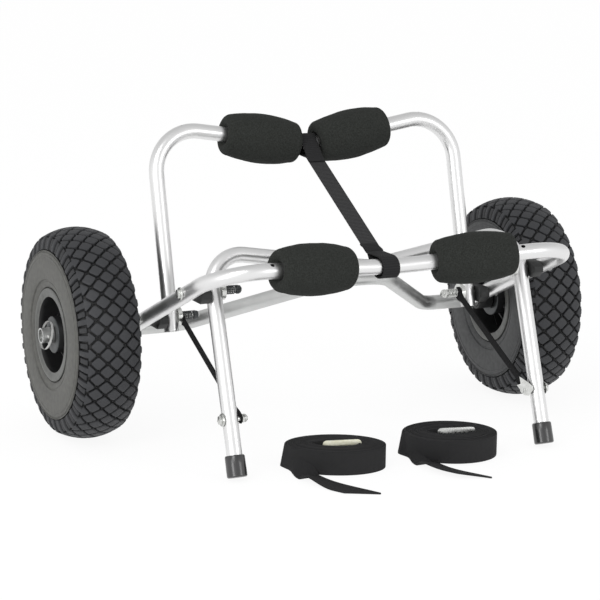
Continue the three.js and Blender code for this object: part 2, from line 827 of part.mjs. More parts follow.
// The lower end is thickened by an eyelet that reaches from the band to the leg
sides.forEach(([hand, side]) => {
  const outerX = pivotStack().saddleInner - seatGap;
  const fromX = side > 0 ? outerX - limiterThickness : -outerX;
  const eyeletEnd = legHalfWidth - tubeRadius - seatGap;
  const eyeletFrom = side > 0 ? outerX - limiterThickness : -eyeletEnd;
  const eyeletLength = eyeletEnd - outerX + limiterThickness;
  const strap = limiterGeometry(fromX, eyeletFrom, eyeletLength);
  piece(axleFrame, `limiter_strap_${hand}`, strap, finishes.webbing);
});

// Centre strap, sewn into a loop round each bar

function inSideView(above, turn, origin) {
  return new THREE.Vector2(origin[1] - above * Math.sin(turn), origin[2] + above * Math.cos(turn));
}

// The bars rise from the vee by this much under the strap's farther edge
function strapRise(end) {
  return (Math.max(Math.abs(end.loopX), Math.abs(end.seamX)) + strapWidth / 2) * Math.tan(barSlope);
}

const rearLoopCentre = inSideView(rearVeeAbove + strapRise(strapRear) / 2, -rearLean, rearPivot);
const frontLoopCentre = inSideView(frontVeeReach + strapRise(strapFront) / 2, tiltTurn, [0, 0, 0]);

// One loop, from the seam round the bar and back to the seam, seen along X
function strapLoop(centre, towardSeam, end) {
  const radius = clearRadius(tubeRadius + seatGap + strapRise(end) / 2, tubeSides) + strapThickness / 2;
  const half = Math.acos(radius / strapSeamReach);
  const points = [];
  for (let k = 0; k <= strapLoopSteps; k += 1) {
    const turn = half + ((fullTurn - 2 * half) * k) / strapLoopSteps;
    const out = towardSeam.clone().rotateAround(new THREE.Vector2(0, 0), turn);
    points.push(centre.clone().addScaledVector(out, radius));
  }
  return points;
}

function centreStrapGeometry() {
  const heading = frontLoopCentre.clone().sub(rearLoopCentre).normalize();
  const backward = heading.clone().negate();
  const above = heading.clone().rotateAround(new THREE.Vector2(0, 0), -Math.PI / 2);
  const lift = above.clone().multiplyScalar(strapThickness + 2 * seatGap);
  const rearSeam = rearLoopCentre.clone().addScaledVector(heading, strapSeamReach);
  const frontSeam = frontLoopCentre.clone().addScaledVector(heading, -strapSeamReach);
  const rearLoop = strapLoop(rearLoopCentre, heading, strapRear).reverse();
  const frontLoop = strapLoop(frontLoopCentre, backward, strapFront);
  const rearRun = [rearSeam.clone().add(lift), ...rearLoop, rearSeam];
  const frontRun = [frontSeam, ...frontLoop, frontSeam.clone().add(lift)];
  const points = [...rearRun, ...frontRun];
  const placeX = [strapRear, strapFront].flatMap((end) => rearRun.map((unused, i) => {
    const share = Math.sin((Math.PI * i) / (rearRun.length - 1));
    return end.seamX + (end.loopX - end.seamX) * share;
  }));
  return band(points.map((point, i) => {
    const before = points[Math.max(i - 1, 0)];
    const after = points[Math.min(i + 1, points.length - 1)];
    const along = after.clone().sub(before).normalize();
    return {
      centre: new THREE.Vector3(placeX[i], point.x, point.y),
      across: X.clone().multiplyScalar(strapWidth / 2),
      through: new THREE.Vector3(0, -along.y, along.x).multiplyScalar(strapThickness / 2),
    };
  }));
}

piece(axleFrame, 'centre_strap', centreStrapGeometry(), finishes.webbing);

// Wheels, each drawn about X with its outer side toward +X

// A tyre of staggered diamond blocks with flat tops and grooves between them, closed round its cavity
function tyreGeometry() {
  const positions = [];
  const index = [];
  const around = 2 * blocksAround;
  const pitch = fullTurn / around;
  const half = tyreWidth / 2;
  const treadHalf = half * treadHalfWidthShare;
  const vertex = (i, x, r) => {
    positions.push(x, r * Math.sin(i * pitch), -r * Math.cos(i * pitch));
    return positions.length / 3 - 1;
  };
  const crown = (share) => tyreRadius - crownDrop * share * share;
  const rowShare = (j) => (2 * j) / treadRows - 1;
  const low = (i, j) => vertex(i, treadHalf * rowShare(j), crown(rowShare(j)) - grooveDepth);
  const high = (i, j) => vertex(i, treadHalf * rowShare(j), crown(rowShare(j)));
  const quad = (a, b, c, d) => index.push(a, b, c, a, c, d);
  const compass = [[-1, 0], [0, -1], [1, 0], [0, 1]];
  const lattice = [];
  for (let j = 0; j <= treadRows; j += 1) {
    const edge = j === 0 || j === treadRows;
    lattice.push(Array.from({ length: around }, (unused, i) => {
      if ((i + j) % 2 === 0) return low(i, j);
      return edge ? high(i, j) : null;
    }));
  }
  const at = (i, j) => lattice[j][(i + around) % around];
  for (let j = 0; j <= treadRows; j += 1) {
    for (let i = (j + 1) % 2; i < around; i += 2) {
      const west = at(i - 1, j);
      const east = at(i + 1, j);
      if (j === 0) {
        index.push(west, at(i, 0), at(i, 1), at(i, 0), east, at(i, 1));
      } else if (j === treadRows) {
        index.push(west, at(i, j - 1), at(i, j), at(i, j), at(i, j - 1), east);
      } else {
        const base = [west, at(i, j - 1), east, at(i, j + 1)];
        const top = compass.map(([u, v]) => high(i + u * blockTopShare, j + v * blockTopShare));
        quad(...top);
        base.forEach((corner, k) => quad(corner, base[(k + 1) % 4], top[(k + 1) % 4], top[k]));
      }
    }
  }
  const height = tyreRadius - beadRadius;
  const ring = (x, r) => Array.from({ length: blocksAround }, (unused, k) => vertex(2 * k, x, r));
  const wrap = (list, k) => list[k % list.length];
  const strip = (from, to) => from.forEach((unused, k) => {
    quad(wrap(from, k), wrap(from, k + 1), wrap(to, k + 1), wrap(to, k));
  });

  // A lug stands on each column of the tread's edge, and the grooves run between the columns
  const shoulder = (side, edge, wall) => {
    const face = (a, b, c) => index.push(...(side > 0 ? [a, b, c] : [a, c, b]));
    const patch = (a, b, c, d) => {
      face(a, b, c);
      face(a, c, d);
    };
    const spot = (i, [x, r]) => vertex(i, side * half * x, beadRadius + height * r);
    const heads = edge.map((unused, i) => spot(i + 1 / 2, grooveHeadShares));
    const feet = edge.map((unused, i) => spot(i + 1 / 2, grooveFootShares));
    edge.forEach((corner, i) => {
      const before = (i + around - 1) % around;
      const [a, b, c, d] = [
        [-1, lugHeadShares], [1, lugHeadShares], [1, lugFootShares], [-1, lugFootShares],
      ].map(([way, shares]) => spot(i + (way * blockTopShare) / 2, shares));
      face(corner, wrap(edge, i + 1), heads[i]);
      face(corner, heads[i], b);
      face(corner, b, a);
      face(corner, a, heads[before]);
      patch(a, b, c, d);
      patch(b, heads[i], feet[i], c);
      patch(heads[before], a, d, feet[before]);
      patch(d, c, feet[i], feet[before]);
    });
    wall.forEach((corner, k) => {
      const [first, second, third] = [feet[2 * k], feet[2 * k + 1], wrap(feet, 2 * k + 2)];
      const next = wrap(wall, k + 1);
      face(first, second, corner);
      face(second, third, next);
      face(second, next, corner);
    });
  };
  const beadOuterX = flangeLipX - seatGap;
  const beadTop = clearRadius(flangeLipRadius + seatGap, blocksAround);
  const beadSeat = clearRadius(beadRadius + seatGap, blocksAround);
  const outside = sidewallShares.map(([x, r]) => [half * x, beadRadius + height * r]);
  const bead = [[beadOuterX, beadTop], [beadOuterX, beadSeat], [beadOuterX - beadWidth, beadSeat]];
  const inside = cavityShares.map(([x, r]) => [(half - tyreWall) * x, beadRadius + height * r]);
  const profile = [...outside, ...bead, ...inside];
  const middle = [0, tyreRadius - tyreCrownWall];
  const mirrored = [...profile].reverse().map(([x, r]) => [-x, r]);
  const rings = [...profile, middle, ...mirrored].map(([x, r]) => ring(x, r));
  shoulder(1, lattice[treadRows], rings[0]);
  for (let k = 0; k < rings.length - 1; k += 1) strip(rings[k], rings[k + 1]);
  shoulder(-1, lattice[0], rings[rings.length - 1]);
  return closedBody(positions, index);
}

// Half of a split rim: bead seat, flange, dished web, hub and radial ribs
function rimHalfGeometry(side) {
  const bore = clearRadius(bearingRadius + seatGap, rimSegments);
  const inner = beadRadius - rimWall;
  const face = seatGap / 2;
  const profile = [
    [bore, face], [beadRadius, face], [beadRadius, flangeLipX], [flangeLipRadius, flangeLipX],
    [flangeLipRadius, flangeLipX + rimWall], [inner, flangeLipX + rimWall], [inner, webThickness],
    [hubBossRadius, webThickness], [hubBossRadius, hubHalfWidth], [bore, hubHalfWidth],
  ];
  const ribRoot = hubBossRadius - rimWall / 2;
  const ribTip = inner + rimWall / 2;
  const ribOutline = [
    [ribRoot, webThickness / 2], [ribTip, webThickness / 2], [ribTip, ribBarrelX], [ribRoot, ribHubX],
  ].map(([r, x]) => new THREE.Vector2(r, x));
  const ribs = [];
  for (let k = 0; k < rimRibs; k += 1) {
    const ribShape = new THREE.Shape(ribOutline);
    const plate = new THREE.ExtrudeGeometry(ribShape, { depth: ribThickness, bevelEnabled: false });
    plate.translate(0, 0, -ribThickness / 2);
    plate.rotateY((Math.PI * (2 * k + 1)) / rimRibs);
    ribs.push(plate);
  }
  const half = join(turned(profile, rimSegments), ...ribs);
  return half.rotateZ(-side * Math.PI / 2);
}

// A bearing pressed into the hub, with the wide disc that covers the hub's end
function bearingGeometry(side) {
  const bore = clearRadius(tubeRadius + boreGap, roundSides);
  const face = hubHalfWidth + seatGap;
  const profile = [
    [bore, face - bearingDepth], [bearingRadius, face - bearingDepth], [bearingRadius, face],
    [hubDiscRadius, face], [hubDiscRadius, face + hubDiscThickness], [bore, face + hubDiscThickness],
  ];
  return turned(profile, roundSides).rotateZ(-side * Math.PI / 2);
}

function airTubeGeometry() {
  const top = (tyreRadius - tyreCrownWall) * Math.cos(Math.PI / blocksAround) - seatGap;
  const halfDepth = (airTubeDepthShare * (tyreRadius - beadRadius)) / 2;
  const halfWidth = (airTubeWidthShare * tyreWidth) / 2;
  const middle = top - halfDepth;
  const ringOf = (inset) => {
    const profile = [];
    for (let k = 0; k < airTubePoints; k += 1) {
      const angle = (fullTurn * k) / airTubePoints;
      profile.push([middle + (halfDepth - inset) * Math.cos(angle), (halfWidth - inset) * Math.sin(angle)]);
    }
    return turnedAlongX(profile, rimSegments);
  };
  const valve = new THREE.CylinderGeometry(valveBoreRadius, valveBoreRadius, middle, smallSides);
  valve.translate(0, middle / 2, 0);
  valve.rotateX(Math.PI / rimSegments);
  return cut(ringOf(0), ringOf(airTubeWall), valve);
}

sides.forEach(([hand, side]) => {
  const wheel = place(axleFrame, [side * wheelX, 0, 0]);
  piece(wheel, `tyre_${hand}`, tyreGeometry(), finishes.rubber);
  piece(wheel, `inner_tube_${hand}`, airTubeGeometry(), finishes.rubber);
  [['outer', side], ['inner', -side]].forEach(([face, way]) => {
    piece(wheel, `rim_${face}_${hand}`, rimHalfGeometry(way), finishes.rim);
    piece(wheel, `bearing_${face}_${hand}`, bearingGeometry(way), finishes.steel);
  });
});

// Rolled tie-down straps, standing on edge, with the outer turn let out and laid flat in front

function coilRoute(middle, lie) {
  const centre = new THREE.Vector2(...middle);
  const origin = new THREE.Vector2(0, 0);
  const steps = coilTurns * coilSteps;
  const stations = [];
  for (let k = 0; k <= steps; k += 1) {
    const share = k / steps;
    const angle = Math.PI + fullTurn * coilTurns * (share - 1);
    const long = coreHalfLength + (coilHalfLength - coreHalfLength) * share - webbingThickness / 2;
    const deep = coreHalfDepth + (coilHalfDepth - coreHalfDepth) * share - webbingThickness / 2;
    const at = new THREE.Vector2(long * Math.cos(angle), deep * Math.sin(angle));
    const out = new THREE.Vector2(Math.cos(angle) / long, Math.sin(angle) / deep).normalize();
    at.rotateAround(origin, lie).add(centre);
    out.rotateAround(origin, lie);
    stations.push({
      centre: new THREE.Vector3(at.x, at.y, webbingWidth / 2),
      across: new THREE.Vector3(0, 0, webbingWidth / 2),
      through: new THREE.Vector3(out.x, out.y, 0).multiplyScalar(webbingThickness / 2),
    });
  }
  return stations;
}

// The tail turns from its edge onto its face over the first half of its run
function tailRoute(tail, end) {
  const points = [end.centre, ...tail.map(([x, y]) => new THREE.Vector3(x, y, webbingWidth / 2))];
  const curve = new THREE.CatmullRomCurve3(points, false, 'centripetal');
  const stations = [];
  for (let k = 1; k <= tailSteps; k += 1) {
    const share = k / tailSteps;
    const at = curve.getPointAt(share);
    const heading = curve.getTangentAt(share);
    const lean = (Math.PI / 2) * THREE.MathUtils.smoothstep(share, 0, tailTwistShare);
    const flat = Z.clone().cross(heading);
    const across = Z.clone().multiplyScalar(Math.cos(lean)).addScaledVector(flat, Math.sin(lean));
    const through = heading.clone().cross(across);
    at.z = (webbingWidth / 2) * Math.cos(lean) + (webbingThickness / 2) * Math.sin(lean);
    stations.push({
      centre: at,
      across: across.multiplyScalar(webbingWidth / 2),
      through: through.multiplyScalar(webbingThickness / 2),
    });
  }
  return stations;
}

// The least distance between two stretches of one route that lie side by side, less its thickness
function leastGap(points, apart, thickness) {
  let least = Infinity;
  for (let i = 0; i < points.length; i += 1) {
    for (let j = i + apart; j < points.length; j += 1) {
      least = Math.min(least, points[i].distanceTo(points[j]) - thickness);
    }
  }
  return least;
}

function buckleGeometry() {
  const plateShape = new THREE.Shape();
  const half = buckleLength / 2;
  const back = -buckleDepth / 2;
  plateShape.moveTo(-half + buckleRounding, 0);
  plateShape.lineTo(half - buckleRounding, 0);
  plateShape.quadraticCurveTo(half, 0, half, buckleRounding);
  plateShape.lineTo(half, buckleHeight - buckleRounding);
  plateShape.quadraticCurveTo(half, buckleHeight, half - buckleRounding, buckleHeight);
  plateShape.lineTo(-half + buckleRounding, buckleHeight);
  plateShape.quadraticCurveTo(-half, buckleHeight, -half, buckleHeight - buckleRounding);
  plateShape.lineTo(-half, buckleRounding);
  plateShape.quadraticCurveTo(-half, 0, -half + buckleRounding, 0);
  const standing = new THREE.Matrix4().makeBasis(X, Z, Y.clone().negate());
  const plate = new THREE.ExtrudeGeometry(plateShape, {
    depth: buckleGauge, bevelEnabled: false, curveSegments: buckleCornerSteps,
  });
  plate.applyMatrix4(standing);
  plate.translate(0, back + buckleGauge, 0);
  const cheek = (z) => {
    const box = new THREE.BoxGeometry(buckleCheekLength, buckleDepth, buckleGauge);
    return box.translate(0, 0, z);
  };
  const rollerLength = buckleHeight - buckleGauge;
  const roller = new THREE.CylinderGeometry(buckleRollerRadius, buckleRollerRadius, rollerLength, boreSides);
  roller.rotateX(Math.PI / 2);
  roller.translate(0, buckleDepth / 2 - buckleRollerRadius, buckleHeight / 2);
  return join(plate, cheek(buckleGauge / 2), cheek(buckleHeight - buckleGauge / 2), roller);
}

function tieStrap(name, middle, lie, tail) {
  const rolled = coilRoute(middle, lie);
  const stations = [...rolled, ...tailRoute(tail, rolled[rolled.length - 1])];
  const centres = stations.map((station) => station.centre);
  const gap = leastGap(centres, coilSteps / 2, webbingThickness);
  console.log(`tie_strap_${name}: least gap between turns ${gap.toFixed(2)} mm`);
  piece(root, `tie_strap_${name}`, band(stations), finishes.webbing);
  const core = place(root, [...middle, 0], [0, 0, lie]);
  piece(core, `tie_buckle_${name}`, buckleGeometry(), finishes.steel);
}

tieStrap('left', leftCoilCentre, leftCoilTurn, leftTail);
tieStrap('right', rightCoilCentre, rightCoilTurn, rightTail);

// The origin is on the ground, under the middle of the whole set
root.updateMatrixWorld(true);
const reach = new THREE.Box3().setFromObject(root, true);
root.position.set(0, -(reach.min.y + reach.max.y) / 2, -reach.min.z);

export default root;
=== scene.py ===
# %% [markdown]
# # A folding kayak cart
# A cart that carries a kayak by one end: three frames of bent aluminium tube, foam pads for the hull,
# two air-filled wheels, and two tie-down straps lying rolled up on the ground. The solid model gives the
# size, the bodies and the joints. This file gives each piece its finished shape and its material.

# %% What the lesson needs
from math import acos, ceil, copysign, cos, hypot, pi, radians, sin, tan

import bmesh
import bpy
import numpy as np
from bmesh import ops
from mathutils import Matrix, Vector, noise


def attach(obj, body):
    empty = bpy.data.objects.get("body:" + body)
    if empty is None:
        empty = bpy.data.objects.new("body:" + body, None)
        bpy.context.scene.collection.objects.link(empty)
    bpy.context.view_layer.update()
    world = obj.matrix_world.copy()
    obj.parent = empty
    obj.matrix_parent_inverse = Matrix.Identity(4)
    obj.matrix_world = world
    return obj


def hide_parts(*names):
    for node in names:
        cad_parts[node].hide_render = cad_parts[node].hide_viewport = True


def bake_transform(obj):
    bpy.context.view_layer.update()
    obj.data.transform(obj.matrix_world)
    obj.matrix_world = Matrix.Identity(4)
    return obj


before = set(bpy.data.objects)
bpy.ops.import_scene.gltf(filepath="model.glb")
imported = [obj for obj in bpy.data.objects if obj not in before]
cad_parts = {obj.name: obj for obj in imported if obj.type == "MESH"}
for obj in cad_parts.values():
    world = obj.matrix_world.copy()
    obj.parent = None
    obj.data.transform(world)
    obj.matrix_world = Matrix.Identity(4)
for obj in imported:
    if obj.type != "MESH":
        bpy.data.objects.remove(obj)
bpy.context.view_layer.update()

# %% [markdown]
# The camera comes first, because everything else is judged through it. Its place and lens were found by
# fitting the wheels, the bars and the feet to the photograph: a long lens, a little above the cart and
# to its left, and turned by less than a degree about its own line of sight.

# %% Camera
CAMERA_PLACE = Vector((-1.4346, -2.96124, 0.87198))
LENS = 162.44
yaw, pitch, roll = (radians(a) for a in (24.8252, 11.9862, 0.7681))
forward = Vector((sin(yaw) * cos(pitch), cos(yaw) * cos(pitch), -sin(pitch)))
level = Vector((cos(yaw), -sin(yaw), 0))
upright = level.cross(forward)
rightward = level * cos(roll) + upright * sin(roll)
upward = upright * cos(roll) - level * sin(roll)
camera = bpy.data.objects.new("camera", bpy.data.cameras.new("camera"))
camera.data.sensor_width = 36
camera.data.lens = LENS
camera.data.clip_end = 60
looking = Matrix((rightward, upward, -forward)).transposed().to_4x4()
camera.matrix_world = Matrix.Translation(CAMERA_PLACE) @ looking
bpy.context.scene.collection.objects.link(camera)
bpy.context.scene.camera = camera
print("camera at", tuple(round(c, 3) for c in CAMERA_PLACE))

# %% [markdown]
# Colours are picked on a screen as sRGB numbers, but the shader works in linear light, so one function
# turns a hex value into what a socket takes. Another adds a node, sets it and links it, and a third
# does one sum.

# %% Colour and node helpers
def linear(hex_value):
    """The four numbers of a colour socket, from an sRGB hex value."""
    parts = [int(hex_value[i:i + 2], 16) / 255 for i in (1, 3, 5)]
    return (*[c / 12.92 if c <= 0.04045 else ((c + 0.055) / 1.055) ** 2.4 for c in parts], 1.0)


def add(tree, kind, inputs=(), **settings):
    """Adds one node: settings are its own, and inputs are values or other nodes' sockets."""
    made = tree.nodes.new("ShaderNode" + kind)
    for name, value in settings.items():
        setattr(made, name, value)
    for socket, value in dict(inputs).items():
        if isinstance(value, bpy.types.NodeSocket):
            tree.links.new(value, made.inputs[socket])
        else:
            made.inputs[socket].default_value = value
    return made


def maths(tree, operation, *values, **settings):
    """The result of one sum, whose values are numbers or other nodes' sockets."""
    return add(tree, "Math", dict(enumerate(values)), operation=operation, **settings).outputs[0]


# %% [markdown]
# A product photograph of this kind is lit from a wide pale room: white walls, a greyer ceiling and far
# wall, and a white sweep under the object. Metal would look dead if it mirrored one even white. The
# soft fall-off gives the tubes their grey edges, and every ray sees the same room.

# %% Room, lamps and floor
scene = bpy.context.scene
scene.view_settings.view_transform = "Standard"
world = bpy.data.worlds.new("pale room")
scene.world = world
world.use_nodes = True
room = world.node_tree
room.nodes.clear()
sight = add(room, "TexCoord")
height = add(room, "SeparateXYZ", {0: sight.outputs["Generated"]})
ceiling = add(room, "MapRange", {0: height.outputs[2], 1: 0.1, 2: 0.95, 3: 1.0, 4: 0.7},
              interpolation_type="SMOOTHSTEP")
away = add(room, "VectorMath", {0: sight.outputs["Generated"], 1: (0.42, 0.907, 0)},
           operation="DOT_PRODUCT")
far_wall = add(room, "MapRange", {0: away.outputs["Value"], 1: -0.2, 2: 1.0, 3: 1.0, 4: 0.78},
               interpolation_type="SMOOTHSTEP")
brightness = maths(room, "MULTIPLY", ceiling.outputs[0], far_wall.outputs[0])
light = add(room, "Background", {0: (1, 1, 1, 1), 1: brightness})
add(room, "OutputWorld", {0: light.outputs[0]})


def soft_lamp(name, place, aim, size, watts):
    """A square lamp at place, in metres, that looks at aim."""
    lamp = bpy.data.objects.new(name, bpy.data.lights.new(name, "AREA"))
    lamp.data.shape = "SQUARE"
    lamp.data.size = size
    lamp.data.energy = watts
    lamp.location = place
    lamp.rotation_euler = (Vector(aim) - Vector(place)).to_track_quat("-Z", "Y").to_euler()
    scene.collection.objects.link(lamp)


soft_lamp("key lamp", (-2.2, -1.8, 2.4), (0, 0, 0.1), 1.4, 26)
soft_lamp("left panel", (-2.6, -1.5, 0.7), (0, 0, 0.15), 0.9, 11)
soft_lamp("right panel", (1.3, -2.6, 0.9), (0, 0, 0.15), 0.8, 8)

floor_finish = bpy.data.materials.new("white studio paper")
floor_finish.use_nodes = True
paper = floor_finish.node_tree
paper_shader = paper.nodes["Principled BSDF"]
paper_shader.inputs["Base Color"].default_value = linear("#fbfbfb")
paper_shader.inputs["Roughness"].default_value = 0.9
paper_shader.inputs["Specular IOR Level"].default_value = 0.1
paper_glow = add(paper, "Emission", {0: (1, 1, 1, 1), 1: 1.03})
ray = add(paper, "LightPath").outputs
looked_at = maths(paper, "ADD", ray["Is Camera Ray"], ray["Is Glossy Ray"])
looked_at = maths(paper, "ADD", looked_at, ray["Is Transmission Ray"], use_clamp=True)
paper_share = maths(paper, "MULTIPLY", looked_at, 0.88)
paper_mix = add(paper, "MixShader",
                {0: paper_share, 1: paper_shader.outputs[0], 2: paper_glow.outputs[0]})
paper.links.new(paper_mix.outputs[0], paper.nodes["Material Output"].inputs[0])

sweep = bmesh.new()
ops.create_grid(sweep, x_segments=1, y_segments=1, size=20)
floor_mesh = bpy.data.meshes.new("floor")
sweep.to_mesh(floor_mesh)
sweep.free()
floor_mesh.materials.append(floor_finish)
floor = bpy.data.objects.new("floor", floor_mesh)
floor.location.z = -0.0002
scene.collection.objects.link(floor)

# %% [markdown]
# Every finish starts from the same shader. A finish is named for the real surface, and its pattern reads
# Object coordinates in metres, so its grain keeps its real size on a large piece and on a small one.

# %% A finish to start from
def finish(name, colour, roughness, metallic=0.0, **sockets):
    """A new material: (material, its tree, its shader)."""
    made = bpy.data.materials.new(name)
    made.use_nodes = True
    shader = made.node_tree.nodes["Principled BSDF"]
    shader.inputs["Base Color"].default_value = linear(colour)
    shader.inputs["Roughness"].default_value = roughness
    shader.inputs["Metallic"].default_value = metallic
    for socket, value in sockets.items():
        shader.inputs[socket.replace("_", " ")].default_value = value
    return made, made.node_tree, shader


def grain(tree, shader, size_mm, height_mm, detail=2.0, stretch=(1, 1, 1)):
    """A noise bump whose lumps are about size_mm across. Returns the noise node."""
    place = add(tree, "TexCoord")
    turned = add(tree, "Mapping", {"Vector": place.outputs["Object"], "Scale": stretch})
    lumps = add(tree, "TexNoise",
                {"Vector": turned.outputs[0], "Scale": 1000 / size_mm, "Detail": detail})
    bump = add(tree, "Bump",
               {"Height": lumps.outputs[0], "Strength": 1.0, "Distance": height_mm / 1000})
    tree.links.new(bump.outputs[0], shader.inputs["Normal"])
    return lumps


def vary(tree, shader, socket, source, low, high):
    """The socket runs from low to high, two colours or two numbers, as the source runs from 0.3 to 0.7."""
    if isinstance(low, str):
        ramp = add(tree, "MapRange", {0: source, 1: 0.3, 2: 0.7})
        mix = add(tree, "Mix", {0: ramp.outputs[0], 6: linear(low), 7: linear(high)}, data_type="RGBA")
        tree.links.new(mix.outputs[2], shader.inputs[socket])
    else:
        ramp = add(tree, "MapRange", {0: source, 1: 0.3, 2: 0.7, 3: low, 4: high})
        tree.links.new(ramp.outputs[0], shader.inputs[socket])


def grained(name, colour, roughness, metallic, size_mm, height_mm, rough=(), shades=(), detail=2.0,
            stretch=(1, 1, 1), **sockets):
    """A finish with a grain. Its roughness and its colour may wander between two ends with the grain."""
    made, tree, shader = finish(name, colour, roughness, metallic, **sockets)
    lumps = grain(tree, shader, size_mm, height_mm, detail, stretch)
    for socket, ends in (("Roughness", rough), ("Base Color", shades)):
        if ends:
            vary(tree, shader, socket, lumps.outputs[0], *ends)
    return made


# %% [markdown]
# Bent tube for such carts is drawn aluminium with a clear satin anodised skin. It reflects softly, and
# handling leaves faint cloudy patches, so its roughness wanders a little over some centimetres. The axle is
# the same metal, left duller and greyer. Bolts, nuts and pins are steel with bright zinc, which is mottled
# at a few millimetres. The left pivots' springs and nuts are given the darker pressed hub steel.

# %% Metals
anodised_aluminium = grained("anodised aluminium", "#e8e8e8", 0.44, 1.0, 35, 0.03, (0.3, 0.42))
dull_aluminium = grained("dull aluminium", "#cfd0cf", 0.42, 1.0, 28, 0.04, (0.36, 0.52),
                         ("#c8c9c8", "#d8d9d8"))
bright_zinc = grained("bright zinc plate", "#d2d3d0", 0.3, 1.0, 3.0, 0.008, (0.2, 0.36),
                      ("#cbccc9", "#dcdddb"))
yellow_zinc = grained("yellow zinc plate", "#efeed8", 0.4, 0.6, 4.0, 0.02, shades=("#e8e6cc", "#f4f3e2"))
oiled_steel = grained("oiled black steel", "#2d2d2e", 0.35, 0.8, 1.2, 0.02)
hub_steel = grained("pressed hub steel", "#4c4e4f", 0.42, 0.9, 2.0, 0.02)
nickel_wire = grained("nickelled wire", "#f4f4f2", 0.38, 0.35, 1.5, 0.005)
print(len(bpy.data.materials), "finishes so far")

# %% [markdown]
# The black pieces are three different things. Spacers and collars are moulded nylon, matt and finely
# textured. The rims are moulded glossier, with a grey bead ring. The feet are dipped rubber with a sheen
# that throws long pale streaks. The pads are closed-cell foam: a matt skin over cells of under a
# millimetre, drawn here a little coarser so that they show.

# %% Plastics, rubber and foam
moulded_nylon = grained("moulded nylon", "#1d1e1e", 0.5, 0.0, 0.9, 0.03)
moulded_rim = grained("moulded rim", "#1b1b1c", 0.32, 0.0, 9, 0.04, (0.3, 0.46))
grey_bead_ring = grained("grey bead ring", "#525351", 0.44, 0.0, 6, 0.03, shades=("#4a4b49", "#5c5d5a"))
foot_rubber = grained("dipped foot rubber", "#171718", 0.28, 0.0, 5, 0.04, stretch=(1, 1, 0.15),
                      Specular_IOR_Level=1.0)
foam_skin = grained("closed-cell foam", "#272927", 0.92, 0.0, 1.6, 0.3, shades=("#20221f", "#323432"),
                    detail=3.0, Specular_IOR_Level=0.2)
print(len(bpy.data.materials), "finishes so far")

# %% [markdown]
# A tyre is one rubber, but it looks like three: the block tops are scuffed and greyish, the grooves are
# darkened with painted shade, and the sidewall has a smoother skin, painted paler on the outer face as
# painted light and darker on the inner face as painted shade. The modelling step writes on each vertex how
# high it stands, as an attribute from 0 in a groove to 1 on a block, and the material paints the grooves'
# shade from that.

# %% Tyre rubber
tyre_rubber, tree, shader = finish("tyre rubber", "#3c3c3e", 0.62)
painted_groove_shade = add(tree, "Attribute", attribute_name="painted_groove_shade")
dust = grain(tree, shader, 3.4, 0.16, detail=4.0)
# painted shade: the base colour darkens from #2f3033 on the block tops to #0e0e0f in the grooves
shade = add(tree, "Mix", {0: painted_groove_shade.outputs["Fac"], 6: linear("#0e0e0f"), 7: linear("#2f3033")},
            data_type="RGBA")
patch = add(tree, "MapRange", {0: dust.outputs[0], 1: 0.35, 2: 0.75, 3: 0.9, 4: 1.12})
scuffs_and_groove_shade = add(tree, "HueSaturation", {"Value": patch.outputs[0], "Color": shade.outputs[2]})
tree.links.new(scuffs_and_groove_shade.outputs[0], shader.inputs["Base Color"])
vary(tree, shader, "Roughness", dust.outputs[0], 0.54, 0.72)

# painted light and painted shade: the outer sidewall's paler colours and the inner sidewall's darker colours
# are lit and shaded copies of one rubber
SKINS = (("outer sidewall, painted light", "#4a4a47", "#585854"), ("inner sidewall, painted shade", "#303132", "#3e3f40"))
outer_flank_painted_light, inner_flank_painted_shade = (
    grained(name, low, 0.56, 0.0, 6.0, 0.05, shades=(low, high)) for name, low, high in SKINS)
print(len(bpy.data.materials), "finishes so far")

# %% [markdown]
# Webbing is woven with fine warp threads along it and thick weft threads across it, so what the eye sees
# is a ladder of ribs, drawn 3 mm apart so that they show. The pattern has to follow the strap round its
# turns, so it reads the strap's own map, which holds millimetres along it and across it.

# %% Woven webbing
WARP_MM = 1.1


def webbing(name, colour, pale, ribs_mm, open_mm=None):
    """A strap's finish from its map, U along it and V across it in millimetres. Its colour is painted paler
    on the weave's rib crests, a painted highlight, and darker in the gaps, a painted shade. Its sewn ends
    get little of that painted highlight and stay darker, and open_mm is the stretch between them."""
    made, tree, shader = finish(name, colour, 0.85, Specular_IOR_Level=0.25)
    chart = add(tree, "UVMap", uv_map="strap")
    along, wide, _ = add(tree, "SeparateXYZ", {0: chart.outputs[0]}).outputs
    ribs = maths(tree, "SINE", maths(tree, "MULTIPLY", along, 2 * pi / ribs_mm))
    warp = maths(tree, "SINE", maths(tree, "MULTIPLY", wide, 2 * pi / WARP_MM))
    weave = maths(tree, "MULTIPLY_ADD", maths(tree, "MULTIPLY", ribs, warp), 0.45, ribs)
    bump = add(tree, "Bump", {"Height": weave, "Strength": 1.0, "Distance": 0.00022})
    tree.links.new(bump.outputs[0], shader.inputs["Normal"])
    # painted light: the colour goes paler where the weave's bump is high and darker where it is low
    painted_crest_light = add(tree, "MapRange", {0: weave, 1: -1.4, 2: 1.4, 3: 0.0, 4: 1.0}).outputs[0]
    for edge, low, high in zip(open_mm or (), (0.2, 1.0), (1.0, 0.2)):
        pressed = add(tree, "MapRange", {0: along, 1: edge - 12, 2: edge + 12, 3: low, 4: high})
        painted_crest_light = maths(tree, "MULTIPLY", painted_crest_light, pressed.outputs[0])
    mix = add(tree, "Mix", {0: painted_crest_light, 6: linear(colour), 7: linear(pale)}, data_type="RGBA")
    tree.links.new(mix.outputs[2], shader.inputs["Base Color"])
    return made


tie_webbing = webbing("polyester tie webbing", "#262627", "#2f2f30", 1.3)
edge_webbing = webbing("narrow nylon webbing", "#0c0c0d", "#19191b", 1.5)
print(len(bpy.data.materials), "finishes so far")

